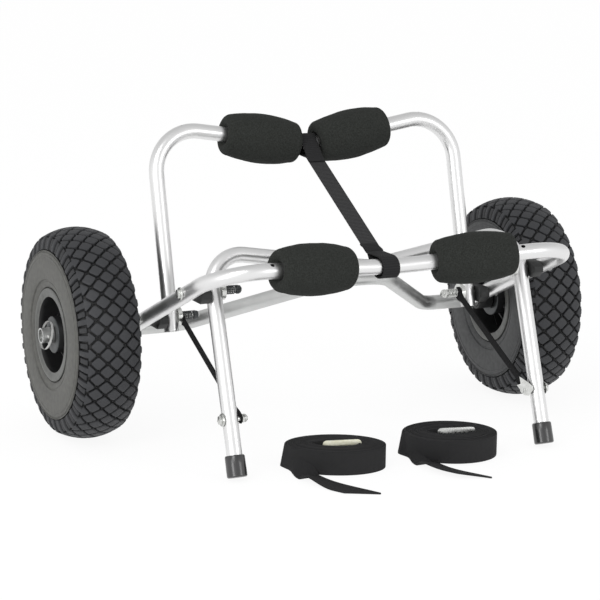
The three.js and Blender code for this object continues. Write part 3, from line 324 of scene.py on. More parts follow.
# %% [markdown]
# Shapes are drawn in millimetres, as on the drawing of the cart, and made metres at the end. The helper
# below closes that step: it scales the mesh, gives it its materials, marks creases where faces meet
# sharply and shades the rest smoothly, and hands the piece to the body that carries it.

# %% From a drawing in millimetres to a piece
AXLE = Vector((0, 127.285, 131.5))
TUBE_RADIUS, TUBE_WALL = 9.5, 1.6
SEAT = TUBE_RADIUS + 0.3  # what a tube passes through or bears on clears it by this much
SIDES = (("left", -1), ("right", 1))
made_pieces = []


def modified(obj, kind, **settings):
    """The object after one modifier, which is applied to its mesh and removed."""
    modifier = obj.modifiers.new(kind.lower(), kind)
    for name, value in settings.items():
        setattr(modifier, name, value)
    bpy.context.view_layer.update()
    solid = bpy.data.meshes.new_from_object(obj.evaluated_get(bpy.context.evaluated_depsgraph_get()))
    obj.modifiers.clear()
    obj.data = solid
    return obj


def loose(name, bm):
    """An object of the drawing, still in millimetres."""
    mesh = bpy.data.meshes.new(name)
    bm.to_mesh(mesh)
    bm.free()
    obj = bpy.data.objects.new(name, mesh)
    scene.collection.objects.link(obj)
    return obj


def piece(name, drawn, finishes, body, nodes, crease=35, rounded=0.0):
    """Turns a bmesh or a loose object into a finished piece on a body, in place of its solid nodes.
    A strap that joins two bodies has None here, and is left on no body."""
    obj = loose(name, drawn) if isinstance(drawn, bmesh.types.BMesh) else drawn
    obj.name = obj.data.name = name
    if rounded:
        modified(obj, "BEVEL", width=rounded, segments=2, limit_method="ANGLE", angle_limit=radians(40))
    obj.data.transform(Matrix.Scale(0.001, 4))
    looks = finishes if isinstance(finishes, list) else [finishes]
    which = [min(face.material_index, len(looks) - 1) for face in obj.data.polygons]
    obj.data.materials.clear()
    for look in looks:
        obj.data.materials.append(look)
    obj.data.polygons.foreach_set("material_index", which)
    obj.data.polygons.foreach_set("use_smooth", [True] * len(obj.data.polygons))
    obj.data.set_sharp_from_angle(angle=radians(crease))
    if body:
        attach(obj, body)
    if nodes:
        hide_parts(*([nodes] if isinstance(nodes, str) else nodes))
    made_pieces.append(obj)
    return obj


def tilted(turn, origin=AXLE):
    """A drawing plane that turns about the cart's X through origin, by turn degrees."""
    return Matrix.Translation(origin) @ Matrix.Rotation(radians(turn), 4, "X")


# %% [markdown]
# A few more helpers serve all the cells after this one. They say where a shape stands and which way it
# faces, give an outline its thickness and cut one shape out of another.

# %% Placing, thickening and cutting
def placed(bm, matrix):
    ops.transform(bm, matrix=matrix, verts=bm.verts)
    return bm


def standing(place, along):
    """Stands a shape drawn up Z at a place, pointing along a direction."""
    return Matrix.Translation(place) @ along.to_track_quat("Z", "Y").to_matrix().to_4x4()


def facing(side):
    """Half a turn about Z for what is drawn on the right and stands on the left."""
    return Matrix.Rotation(0 if side > 0 else pi, 4, "Z")


def on_axle(x):
    return Matrix.Translation(AXLE + Vector((x, 0, 0)))


def closed_up(bm):
    """The shape with all its faces turned outward."""
    ops.recalc_face_normals(bm, faces=bm.faces)
    return bm


def points_in(found):
    return [g for g in found if isinstance(g, bmesh.types.BMVert)]


def thicken(bm, thickness):
    """Gives a flat shape its thickness, a vector."""
    grown = ops.extrude_face_region(bm, geom=bm.faces[:])["geom"]
    ops.translate(bm, vec=thickness, verts=points_in(grown))
    return closed_up(bm)


def plate(outline, thickness):
    """A flat plate from the points of its outline."""
    bm = bmesh.new()
    bm.faces.new([bm.verts.new(point) for point in outline])
    return thicken(bm, thickness)


def cut_away(obj, tool, **settings):
    """Takes a tool's shape out of a loose object, and removes the tool."""
    modified(obj, "BOOLEAN", object=tool, operation="DIFFERENCE", solver="EXACT", **settings)
    bpy.data.objects.remove(tool)
    return obj


# %% [markdown]
# A tube bender works in steps: feed straight, turn about a centre, feed straight again. The helper does
# the same with a ring of points, extruding it along the straights and spinning it round each bend's
# centre. That keeps the tube truly round in the bends, which a bevelled curve wouldn't promise.

# %% Bent tubes
RING_SIDES, BEND_STEP = 32, radians(5)


def new_ring(found):
    """The loose ring that an extrusion or a spin leaves, as (points, edges)."""
    points = points_in(found)
    known = set(points)
    return points, [g for g in found if isinstance(g, bmesh.types.BMEdge) and known.issuperset(g.verts)]


def bent_tube(corners, bends, radius=TUBE_RADIUS):
    """A tube along straight runs between the corners, with a bend of the given radius at each inner one."""
    bm = bmesh.new()
    stops = [Vector(c) for c in corners]
    heading = (stops[1] - stops[0]).normalized()
    points = ops.create_circle(bm, segments=RING_SIDES, radius=radius)["verts"]
    ops.transform(bm, verts=points, matrix=standing(stops[0], heading))
    edges = bm.edges[:]
    at = stops[0]
    for bend, corner, after in zip([*bends, None], stops[1:], [*stops[2:], None]):
        end = corner
        if after is not None:
            leaving = (after - corner).normalized()
            turn = heading.angle(leaving)
            end = corner - heading * bend * tan(turn / 2)
        points, edges = new_ring(ops.extrude_edge_only(bm, edges=edges)["geom"])
        ops.translate(bm, verts=points, vec=end - at)
        at = end
        if after is not None:
            axis = heading.cross(leaving).normalized()
            centre = end + axis.cross(heading) * bend
            steps = max(3, ceil(turn / BEND_STEP))
            spun = ops.spin(bm, geom=edges, cent=centre, axis=axis, angle=turn, steps=steps)
            points, edges = new_ring(spun["geom_last"])
            at = centre - axis.cross(leaving) * bend
            heading = leaving
    return closed_up(bm)


# %% [markdown]
# The front frame, the rear frame and the kickstand are one kind of U: two legs, and a bar that dips to a
# shallow V. Each tube gets its wall and its holes while it still lies in its own plane.

# %% The U of a frame, its wall and its holes
VEE_SLOPE = radians(9.3)


def arch(half_width, foot, vee, bend, radius=TUBE_RADIUS):
    """The U that all three frames share: legs up Z, and a bar that dips to a shallow V in the middle."""
    corner = bar_height(vee, half_width)
    return bent_tube([(-half_width, 0, foot), (-half_width, 0, corner), (0, 0, vee), (half_width, 0, corner),
                      (half_width, 0, foot)], [bend, 30, bend], radius)


def bar_height(vee, x):
    return vee + abs(x) * tan(VEE_SLOPE)


def drilled(name, bm, plane, drills):
    """Gives a tube its wall, drills it and places it. A drill is (radius, from, to), in the tube's plane."""
    tube = modified(loose(name, bm), "SOLIDIFY", thickness=TUBE_WALL, offset=-1)
    bits = bmesh.new()
    for radius, start, end in drills:
        start, end = Vector(start), Vector(end)
        bit = ops.create_cone(bits, cap_ends=True, segments=32, radius1=radius, radius2=radius,
                              depth=(end - start).length)
        ops.transform(bits, verts=bit["verts"], matrix=standing((start + end) / 2, end - start))
    cut_away(tube, loose(name + " drills", bits))
    tube.data.transform(plane)
    return tube


def across(half_width, reach, radius=3.4):
    """Bolt holes through both legs at one height."""
    return [(radius, (s * (half_width - 14), 0, reach), (s * (half_width + 14), 0, reach)) for _, s in SIDES]


# %% [markdown]
# The rear frame and the kickstand turn on pivots in the front frame, so their planes start there. The
# kickstand's legs are as long as the ground needs them to be.

# %% The four tubes
FRONT_TURN, BOW_TURN, REAR_TURN, STAND_TURN = 90 - 23.3, 90 - 25.9, -15.24, -19.95
STAND_LEAN = radians(-STAND_TURN)
FRONT_HALF, LEG_HALF = 240, 207.4
REAR_PIVOT_UP, STAND_PIVOT_UP = 59.3, 207.6
FOOT_RADIUS, LOW_BOLT_UP = 12.2, 69
FRONT_VEE, REAR_VEE, STAND_VEE = 276, 203.7, 14.1
front_plane, bow_plane = tilted(FRONT_TURN), tilted(BOW_TURN)
rear_pivot = front_plane @ Vector((0, 0, REAR_PIVOT_UP))
stand_pivot = front_plane @ Vector((0, 0, STAND_PIVOT_UP))
rear_plane, stand_plane = tilted(REAR_TURN, rear_pivot), tilted(STAND_TURN, stand_pivot)
leg_length = stand_pivot.z / cos(STAND_LEAN)
sole = leg_length - FOOT_RADIUS * tan(STAND_LEAN)
leg_bolt_below = (stand_pivot.z - LOW_BOLT_UP) / cos(STAND_LEAN)

front_tube = drilled(
    "front frame", arch(FRONT_HALF, 0, FRONT_VEE, 60), front_plane,
    [(SEAT, (-262, 0, 0), (262, 0, 0)), *across(FRONT_HALF, REAR_PIVOT_UP),
     *across(FRONT_HALF, STAND_PIVOT_UP),
     *[(2.7, (x, 0, bar_height(FRONT_VEE, x)), (x, 9, bar_height(FRONT_VEE, x) + 12)) for x in (-173, 160)]])
piece("front_frame", front_tube, anodised_aluminium, "frame", "front_frame_tube")

bow_line = [(-357.5, 0), (-171.3, 0), (-34.8, 175.9), (34.8, 175.9), (171.3, 0), (357.5, 0)]
bow = bent_tube([(x, 0, up) for x, up in bow_line], [37, 58, 58, 37])
PIN_X = 349.8
pin_holes = [(2.6, (s * PIN_X, -15, 0), (s * PIN_X, 15, 0)) for _, s in SIDES]
axle_tube = drilled("axle", bow, bow_plane, pin_holes)
piece("bowed_axle", axle_tube, dull_aluminium, "frame", "axle_tube")

rear_tube = drilled(
    "rear frame", arch(LEG_HALF, -18.8, REAR_VEE, 52), rear_plane,
    [*across(LEG_HALF, 0),
     *[(2.6, (x, 0, bar_height(REAR_VEE, x)), (x, -4, bar_height(REAR_VEE, x) + 15)) for x in (-168, 161)]])
piece("rear_frame_arch", rear_tube, anodised_aluminium, "rear_frame", "rear_frame_tube")

stand_tube = drilled("stand", arch(LEG_HALF, 5.3 - sole, STAND_VEE, 38), stand_plane,
                     [*across(LEG_HALF, 0), *across(LEG_HALF, -leg_bolt_below)])
piece("kickstand_arch", stand_tube, anodised_aluminium, "kickstand", "stand_tube")
print("four bent tubes,", sum(len(o.data.polygons) for o in made_pieces), "faces")

# %% [markdown]
# Turned pieces come from a profile and a full spin. The profile is drawn as a few points, radius first
# and place along the wheel's axle second, and the ends of the spin are merged so that no seam stays open.

# %% Turned pieces
def full_turn(bm, steps):
    """Spins all of bm once about the X axis and merges the seam."""
    ops.spin(bm, geom=bm.verts[:] + bm.edges[:], cent=(0, 0, 0), axis=(1, 0, 0), angle=2 * pi, steps=steps,
             use_merge=True)
    ops.remove_doubles(bm, verts=bm.verts, dist=0.002)
    return closed_up(bm)


def turned(profile, steps=64):
    """Spins a closed profile of (radius, x) points about the X axis."""
    bm = bmesh.new()
    points = [bm.verts.new((x, 0, r)) for r, x in profile]
    for pair in zip(points, [*points[1:], points[0]]):
        bm.edges.new(pair)
    return full_turn(bm, steps)


def faces_at(bm):
    """Each face, with its middle's place along the X axis and its distance from it."""
    for face in bm.faces:
        middle = face.calc_center_median()
        yield face, middle.x, hypot(middle.y, middle.z)


def merged(*parts):
    """One bmesh that holds several."""
    whole = bmesh.new()
    for part in parts:
        mesh = bpy.data.meshes.new("part")
        part.to_mesh(mesh)
        part.free()
        whole.from_mesh(mesh)
        bpy.data.meshes.remove(mesh)
    return whole


# %% [markdown]
# A tread is cut into a mould that is flat before it is rolled up, and it is easiest to model the same
# way. A diamond block, its two halves, a small knob, a long lug and a short lug are made flat, repeated
# at their places and rolled round the wheel: the length goes round the tyre, the width follows its
# section.

# %% Tyres
WHEEL_X, TYRE_RADIUS, BLOCKS = 306.4, 131.5, 38
TREAD_HALF, CROWN_DROP, GROOVE = 33.2, 8.5, 3.8
crown = [(x, TYRE_RADIUS - CROWN_DROP * (x / TREAD_HALF) ** 2) for x in np.linspace(0, TREAD_HALF, 15)]
shoulder = [(35.3, 120.6), (37.1, 117.2), (38.3, 113.2), (39.2, 109.2), (39.8, 105.2)]
section = np.array(crown + shoulder)
run_of = np.concatenate([[0], np.cumsum(np.hypot(*np.diff(section, axis=0).T))])
edge_run = float(run_of[len(crown) - 1])
lug_end = float(run_of[-1])
ROW, PITCH = edge_run / 3, pi * TYRE_RADIUS / BLOCKS


def on_tyre(flat):
    """A point of the flat tread (across, round, height) rolled onto the tyre, about the axle."""
    run = abs(flat.x)
    side = copysign(1, flat.x)
    x, r = (float(np.interp(run, run_of, section[:, k])) for k in (0, 1))
    ahead = [float(np.interp(min(run + 0.8, lug_end), run_of, section[:, k])) for k in (0, 1)]
    behind = [float(np.interp(max(run - 0.8, 0), run_of, section[:, k])) for k in (0, 1)]
    along = Vector((ahead[0] - behind[0], ahead[1] - behind[1])).normalized()
    x, r = x - along.y * flat.z, r + along.x * flat.z
    angle = flat.y / TYRE_RADIUS
    return Vector((side * x, r * sin(angle), -r * cos(angle)))


# %% [markdown]
# A block starts as a small grid, turned to a diamond where it is one. It is raised, narrowed at the top
# and softened along its upper edges. It has no underside, because that lies in the rubber.

# %% Tread blocks
def block(across_half, round_half, segments, diamond=True, notch=0.0, sunk=0.0):
    """A block with sloping sides and softened top edges, on the flat tread, its top sunk below height 0."""
    bm = bmesh.new()
    ops.create_grid(bm, x_segments=segments[0], y_segments=segments[1], size=1)
    if diamond:
        placed(bm, Matrix.Rotation(pi / 4, 4, "Z") @ Matrix.Scale(0.70711, 4))
    ops.scale(bm, vec=(across_half, round_half, 1), verts=bm.verts)
    if notch:
        tips = [v for v in bm.verts if len(v.link_edges) == 2]
        ops.bevel(bm, geom=tips, offset=notch, segments=3, profile=0.2, affect="VERTICES", material=-1)
    top = ops.extrude_face_region(bm, geom=bm.faces[:])["geom"]
    raised = points_in(top)
    ops.translate(bm, vec=(0, 0, GROOVE + 1.2), verts=raised)
    ops.scale(bm, vec=(1 - 1.1 / across_half, 1 - 1.1 / round_half, 1), verts=raised)
    hidden = [f for f in bm.faces if all(v.co.z < 0.1 for v in f.verts)]
    ops.delete(bm, geom=hidden, context="FACES_ONLY")
    rim = [e for e in bm.edges if all(v.co.z > 1 for v in e.verts) and
           any(any(v.co.z < 1 for v in f.verts) for f in e.link_faces)]
    ops.bevel(bm, geom=rim, offset=0.7, segments=2, profile=0.5, affect="EDGES", material=-1)
    ops.translate(bm, vec=(0, 0, -GROOVE - 1.2 - sunk), verts=bm.verts)
    return bm


def repeat(bm, pattern, places):
    """Adds the pattern's mesh to bm at each place of the flat tread."""
    for across_at, round_at in places:
        before = len(bm.verts)
        bm.from_mesh(pattern)
        bm.verts.ensure_lookup_table()
        ops.translate(bm, vec=(across_at, round_at, 0), verts=bm.verts[before:])


def as_mesh(bm):
    mesh = bpy.data.meshes.new("pattern")
    bm.to_mesh(mesh)
    bm.free()
    return mesh


SHARE, NOTCH = 0.91, 1.9
diamond = as_mesh(block(ROW * SHARE, PITCH * SHARE, (4, 4), notch=NOTCH))
knob = as_mesh(block(1.7, 1.7, (1, 1), diamond=False, sunk=1.2))
half = block(ROW * SHARE, PITCH * SHARE, (4, 4), notch=NOTCH)
ops.bisect_plane(half, geom=half.verts[:] + half.edges[:] + half.faces[:], plane_co=(0.6, 0, 0),
                 plane_no=(1, 0, 0), clear_outer=True)
half_right = as_mesh(half.copy())
ops.scale(half, vec=(-1, 1, 1), verts=half.verts)
ops.reverse_faces(half, faces=half.faces)
half_left = as_mesh(half)
long_lug_half = (lug_end - edge_run + 1) / 2
short_lug_half = (lug_end - edge_run - 1.6) / 2
LUG_HALF = PITCH * 0.44
long_lug = as_mesh(block(long_lug_half, LUG_HALF, (6, 2), diamond=False))
short_lug = as_mesh(block(short_lug_half, LUG_HALF, (6, 2), diamond=False, sunk=1.3))

# %% [markdown]
# Diamonds stand on every second point of a lattice, and knobs on the others. The edge takes the halves, and
# the shoulder a long lug and a short one by turns. Each vertex keeps how high it stands, which the tyre's
# finish turns into painted shade in the grooves.

# %% The tread, laid flat and rolled up
columns = range(2 * BLOCKS)
flat_tread = bmesh.new()
lattice = [((j - 3) * ROW, i * PITCH, (i + j) % 2) for j in range(1, 6) for i in columns]
repeat(flat_tread, diamond, [(x, y) for x, y, holds_block in lattice if holds_block])
repeat(flat_tread, knob, [(x, y) for x, y, holds_block in lattice if not holds_block])
for side, half_block in ((-1, half_left), (1, half_right)):
    for pattern, run, odd in ((half_block, edge_run, 1), (long_lug, lug_end - long_lug_half, 1),
                              (short_lug, lug_end - short_lug_half, 0)):
        repeat(flat_tread, pattern, [(side * run, i * PITCH) for i in columns if i % 2 == odd])
# each vertex keeps 1 on a block's top and 0 on the groove floor, for the painted groove shade
groove_shade_layer = flat_tread.verts.layers.float.new("painted_groove_shade")
for corner in flat_tread.verts:
    corner[groove_shade_layer] = min(1.0, max(0.0, 1 + corner.co.z / GROOVE))
    corner.co = on_tyre(corner.co)
ops.recalc_face_normals(flat_tread, faces=flat_tread.faces)

# %% [markdown]
# Under the blocks lies the carcass, one turned profile: the floor of the grooves, the flank with its
# moulded lines, the bead and the inside.

# %% Carcass and tyres
rolled_floor = [on_tyre(Vector((run, 0, -GROOVE))) for run in np.linspace(0, lug_end, 22)]
groove_floor = [(point.x, -point.z) for point in rolled_floor]
flank = [(39.6, 104.9), (39.7, 104.3), (38.7, 103.6), (38.8, 102.5), (40.1, 101.6), (40.5, 98.6), (41.1, 98),
         (41.2, 97), (40.8, 96.3), (41.3, 91), (41.5, 85), (41.35, 77), (40.9, 70.5), (40.4, 69), (39, 68.2),
         (38.8, 66.8), (39.3, 65.8), (38.9, 62.4), (37.4, 59.6), (35.4, 58.6), (35.2, 50.4), (25.2, 50.4),
         (33, 68), (34, 104), (24, 118)]
half_section = [(r, x) for x, r in groove_floor + flank]
whole_section = half_section + [(123.5, 0)] + [(r, -x) for r, x in reversed(half_section[1:])]
carcass = turned(whole_section, steps=104)
# the carcass keeps 0, so its groove floor takes the darkest painted shade
carcass.verts.layers.float.new("painted_groove_shade")
band_edge = groove_floor[-1][1]
tyre = as_mesh(merged(carcass, flat_tread))
for hand, side in SIDES:
    one = bmesh.new()
    one.from_mesh(tyre)
    for face, x, out in faces_at(one):
        # outer flanks take the copy with painted light, inner flanks the copy with painted shade
        flank_skin = 1 if x * side > 0 else 2
        face.material_index = flank_skin if out < band_edge else 0
    placed(one, on_axle(side * WHEEL_X))
    piece(f"tyre_tread_{hand}", one, [tyre_rubber, outer_flank_painted_light, inner_flank_painted_shade], f"wheel_{hand}",
          [f"tyre_{hand}", f"inner_tube_{hand}"], crease=30)
print("a tyre has", len(tyre.polygons), "faces")

# %% [markdown]
# Rims for such tyres are moulded in two halves that are bolted together. Each half is a dish with a bead
# seat, a flange, a hub boss and eight ribs. The flange's ring is greyer than the dish, because tools and
# sand have worn its gloss, so it is a material of its own.

# %% Rims
def rim_half(way, first_rib):
    """Half a rim, whose outer side looks along way on the X axis."""
    dish = turned([(17.4, 0.15), (50, 0.15), (50, 35.5), (58, 35.5), (58, 38.5), (52.4, 38.5), (50.6, 37.4),
                   (47, 37.4), (46.4, 30), (45.6, 5), (22.6, 5), (22, 34), (17.4, 34)], steps=72)
    for face, x, out in faces_at(dish):
        face.material_index = 1 if out > 48 and x > 36 else 0
    parts = [dish]
    for k in range(8):
        rib = plate([(x, -1.6, r) for r, x in ((20.5, 3), (47.5, 3), (47.5, 12), (20.5, 26))], (0, 3.2, 0))
        parts.append(placed(rib, Matrix.Rotation(pi * k / 4 + first_rib, 4, "X")))
    return placed(merged(*parts), facing(way))


cover_profile = [(9.9, 22.3), (17, 22.3), (17, 34.3), (23, 34.3), (23, 35.1), (22.2, 35.9), (14.5, 35.9),
                 (13.6, 35.4), (11.8, 35.4), (11.2, 35.9), (9.9, 35.9)]
for hand, side in SIDES:
    wheel = on_axle(side * WHEEL_X)
    first_rib = 0 if side < 0 else pi / 8
    for face, way in (("outer", side), ("inner", -side)):
        dish = placed(rim_half(way, first_rib), wheel)
        piece(f"rim_dish_{face}_{hand}", dish, [moulded_rim, grey_bead_ring], f"wheel_{hand}",
              f"rim_{face}_{hand}", rounded=0.7)
        cover = turned(cover_profile, steps=64)
        for band, x, out in faces_at(cover):
            band.material_index = 1 if out < 14 else 0
        piece(f"hub_cover_{face}_{hand}", placed(cover, wheel @ facing(way)), [hub_steel, oiled_steel],
              f"wheel_{hand}", f"bearing_{face}_{hand}", rounded=0.25)
print(len(made_pieces), "pieces so far")

# %% [markdown]
# Each wheel is kept on by a pin through the axle's end, whose wire ring snaps over the end of the tube.
# The ring turns in the pin's head, so it rides on its own body. A plastic collar stands between the wheel
# and the frame.

# %% Collars, lock pins and rings
RING_RADIUS, RING_WIRE, RING_TILT = 17.8, 1.5, radians(14)


def rod(start, end, radius, bevel=0.4):
    """A round rod between two points, with softened ends."""
    bm = bmesh.new()
    start, end = Vector(start), Vector(end)
    along = end - start
    ops.create_cone(bm, cap_ends=True, segments=24, radius1=radius, radius2=radius, depth=along.length)
    rims = [e for e in bm.edges if abs(e.verts[0].co.z - e.verts[1].co.z) < 1e-6]
    ops.bevel(bm, geom=rims, offset=bevel, segments=2, profile=0.5, affect="EDGES", material=-1)
    return placed(bm, standing((start + end) / 2, along))


def wire_ring(radius, wire):
    """A ring of flat wire about the X axis, twice wire wide."""
    bm = bmesh.new()
    points = ops.create_circle(bm, segments=12, radius=wire)["verts"]
    ops.translate(bm, verts=points, vec=(0, 0, radius))
    return full_turn(bm, 72)


for hand, side in SIDES:
    collar = turned([(9.9, 249.8), (13, 249.8), (13, 270.2), (9.9, 270.2)], steps=48)
    piece(f"collar_{hand}", placed(collar, on_axle(0) @ facing(side)), moulded_nylon, "frame",
          f"axle_collar_{hand}", rounded=0.6)
    at_pin, tilt = on_axle(side * PIN_X), Matrix.Rotation(-side * RING_TILT, 4, "Y")
    shank, head = rod((0, 14, 0), (0, -13.5, 0), 2.2), rod((0, 14, 0), (0, 20, 0), 4.0, bevel=0.8)
    pin = loose("pin", merged(shank, head))
    eye = loose("eye", placed(rod((0, RING_RADIUS, -7), (0, RING_RADIUS, 7), 2.3), tilt))
    cut_away(pin, eye, use_self=True)
    pin.data.transform(at_pin)
    piece(f"pin_{hand}", pin, bright_zinc, "frame", f"lock_pin_{hand}")
    ring = placed(wire_ring(RING_RADIUS, RING_WIRE), at_pin @ tilt)
    piece(f"snap_ring_{hand}", ring, nickel_wire, f"ring_{hand}", f"lock_ring_{hand}")
print(len(made_pieces), "pieces so far")

# %% [markdown]
# The pads are thick foam sleeves. Foam isn't sewn or stuffed, so there is no cloth to simulate: it is turned
# from a barrel profile with rounded ends, then pushed about by less than a millimetre, as a soft moulding
# never comes out true.

# %% Foam pads
def foam_sleeve(length, seed):
    half_length, edge = length / 2, length / 2 - 8
    ends = [(18 + 8.5 * sin(angle), half_length - 8 * (1 - cos(angle)))
            for angle in np.linspace(0, pi / 2, 9)]
    crowned = [(26.5 + 5 * (1 - share ** 2), edge * share) for share in np.linspace(0.9, -0.9, 19)]
    bore = [(9.9, half_length - 6), (11, half_length - 4.5), (14.5, half_length - 1)]
    right = [*bore, *ends]
    profile = [*right, *crowned, *[(r, -x) for r, x in reversed(right)]]
    sleeve = turned(profile, steps=72)
    for v in sleeve.verts:
        out = Vector((0, v.co.y, v.co.z))
        if out.length > 12:
            lump = noise.noise(v.co / 22 + Vector((seed, 0, 0)))
            lump += 0.5 * noise.noise(v.co / 9 + Vector((0, seed, 0)))
            v.co += out.normalized() * (0.55 * lump - 0.35)
    return sleeve


def seat_on_bar(plane, vee, x):
    tip = Matrix.Rotation(-copysign(VEE_SLOPE, x), 4, "Y")
    return plane @ Matrix.Translation((x, 0, bar_height(vee, x))) @ tip


for number, (name, plane, vee, x, length, body) in enumerate((
        ("front_pad_left", front_plane, FRONT_VEE, -114.5, 103, "frame"),
        ("front_pad_right", front_plane, FRONT_VEE, 100.5, 102, "frame"),
        ("rear_pad_left", rear_plane, REAR_VEE, -63.7, 100.5, "rear_frame"),
        ("rear_pad_right", rear_plane, REAR_VEE, 60.8, 100, "rear_frame"))):
    sleeve = placed(foam_sleeve(length, 3.1 * number + 1), seat_on_bar(plane, vee, x))
    pad = piece(f"foam_{name}", sleeve, foam_skin, body, name)
print(len(made_pieces), "pieces so far")

# %% [markdown]
# A pivot is a stack on one bolt: flanged head, the side member, a moulded spacer, the leg, a saddle
# washer, a spring and a nut. The spring lets the leg be drawn inward when the cart is folded. A hexagon is
# a cone with six sides and equal ends; its corners are softened as on a forged head.

# %% Bolts, nuts and springs
def prism(from_x, to_x, across_flats, bevel=0.5):
    bm = bmesh.new()
    corner = across_flats / 2 / cos(pi / 6)
    ops.create_cone(bm, cap_ends=True, segments=6, radius1=corner, radius2=corner,
                    depth=abs(to_x - from_x))
    ops.bevel(bm, geom=bm.edges[:], offset=bevel, segments=2, profile=0.5, affect="EDGES", material=-1)
    return placed(bm, Matrix.Translation(((from_x + to_x) / 2, 0, 0)) @ Matrix.Rotation(pi / 2, 4, "Y"))


def bolt(side, outer, inner):
    """A flanged bolt from its bearing face at outer to the end of its thread at inner."""
    top = outer + 1.5
    flange = turned([(0.01, outer), (8, outer), (8, outer + 0.7), (7.2, top), (0.01, top)], steps=32)
    if side < 0:
        ops.scale(flange, vec=(-1, 1, 1), verts=flange.verts)
        ops.reverse_faces(flange, faces=flange.faces)
    shank = rod((side * inner, 0, 0), (side * (outer + 1), 0, 0), 3)
    return merged(flange, shank, prism(side * (outer + 1.2), side * (outer + 4.5), 10))


def nut(side, outer):
    """A locking nut, its hexagon outward and its rounded collar inward."""
    hexagon = prism(side * outer, side * (outer - 4), 10)
    collar = rod((side * (outer - 3.6), 0, 0), (side * (outer - 6), 0, 0), 4.8, bevel=0.9)
    return merged(hexagon, collar)


def spring(side, outer, length=15.2, curls=6, radius=4.75, wire=0.75):
    """A coil spring about X, from its outer end inward."""
    bm = bmesh.new()
    points = ops.create_circle(bm, segments=10, radius=wire)["verts"]
    ops.rotate(bm, verts=points, cent=(0, 0, 0), matrix=Matrix.Rotation(pi / 2, 3, "X"))
    ops.translate(bm, verts=points, vec=(side * (outer - wire - 0.3), 0, radius))
    steps = curls * 28
    travel = -side * (length - 2 * wire - 0.6) / steps
    ops.spin(bm, geom=bm.verts[:] + bm.edges[:], cent=(0, 0, 0), axis=(1, 0, 0), angle=2 * pi * curls,
             steps=steps, dvec=(travel, 0, 0))
    ops.holes_fill(bm, edges=[e for e in bm.edges if e.is_boundary])
    return closed_up(bm)


def spacer(from_x, to_x):
    """An eight-sided moulded plate, long along Y, with softened edges."""
    outline = [(21, -4), (21, 3), (14, 8), (-14, 8), (-21, 3), (-21, -4), (-13, -12), (13, -12)]
    return plate([(from_x, y, z) for y, z in outline], (to_x - from_x, 0, 0))


# %% [markdown]
# Both pairs of pivots carry the same stack. On the rear ones the limiter strap's eye takes a little room
# between the saddle washer and the spring.

# %% The pivots and the low bolts
PAST_NUT = 7.4
OUTER_FACE, SADDLE_INNER = FRONT_HALF + SEAT, LEG_HALF - SEAT - 2.6
# the left pivots' springs and nuts take the darker pressed hub steel in place of bright zinc
DARKER_ON_LEFT = {("stand", "left"): hub_steel, ("rear", "left"): hub_steel}
for prefix, pivot, strap_room in (("rear", rear_pivot, 1.9), ("stand", stand_pivot, 0)):
    here = Matrix.Translation(pivot)
    spring_outer = SADDLE_INNER - strap_room
    nut_outer = spring_outer - 16
    for hand, side in SIDES:
        darker_finish = DARKER_ON_LEFT.get((prefix, hand), bright_zinc)
        through = placed(bolt(side, OUTER_FACE, nut_outer - PAST_NUT), here)
        piece(f"{prefix}_bolt_{hand}", through, bright_zinc, "frame", f"{prefix}_pivot_bolt_{hand}")
        piece(f"{prefix}_nut_{hand}", placed(nut(side, nut_outer), here), darker_finish, "frame",
              f"{prefix}_pivot_nut_{hand}")
        piece(f"{prefix}_spring_{hand}", placed(spring(side, spring_outer), here), darker_finish, "frame",
              f"{prefix}_pivot_spring_{hand}", crease=60)
        ends = sorted((side * (LEG_HALF + SEAT), side * (FRONT_HALF - SEAT)))
        piece(f"{prefix}_spacer_{hand}", placed(spacer(*ends), here), moulded_nylon, "frame",
              f"{prefix}_pivot_spacer_{hand}", rounded=1.2)

for hand, side in SIDES:
    low = stand_plane @ Matrix.Translation((0, 0, -leg_bolt_below))
    inner = SADDLE_INNER - 2.2
    through = placed(bolt(side, LEG_HALF + SEAT, inner - PAST_NUT), low)
    piece(f"low_bolt_{hand}", through, bright_zinc, "kickstand", f"leg_bolt_{hand}")
    piece(f"low_nut_{hand}", placed(nut(side, inner), low), bright_zinc, "kickstand", f"leg_nut_{hand}")
print(len(made_pieces), "pieces so far")

# %% [markdown]
# A saddle washer is flat on the spring's side and hollowed on the leg's side, so that it bears on the
# round tube. It is a turned disc with the leg's own shape cut out of it.

# %% Saddle washers
def saddle(side, foot, vee, bend):
    face = LEG_HALF - TUBE_RADIUS + 2.2
    back = face - 2.2 - 0.3 - 2.6
    disc = turned([(3.4, back), (11.5, back), (11.5, face), (3.4, face)], steps=40)
    leg = arch(LEG_HALF, foot, vee, bend, radius=SEAT)
    ops.holes_fill(leg, edges=[e for e in leg.edges if e.is_boundary])
    return cut_away(loose("saddle", placed(disc, facing(side))), loose("leg", leg))


for prefix, plane, vee, bend, body in (("rear", rear_plane, REAR_VEE, 52, "rear_frame"),
                                       ("stand", stand_plane, STAND_VEE, 38, "kickstand")):
    for hand, side in SIDES:
        washer = saddle(side, -17, vee, bend)
        washer.data.transform(plane)
        piece(f"{prefix}_saddle_{hand}", washer, bright_zinc, body, f"{prefix}_saddle_washer_{hand}")
print(len(made_pieces), "pieces so far")

# %% [markdown]
# The feet are rubber cups pushed over the legs' ends. Their soles are square to the leg, and years of
# standing leave them slightly swollen at the bottom edge.

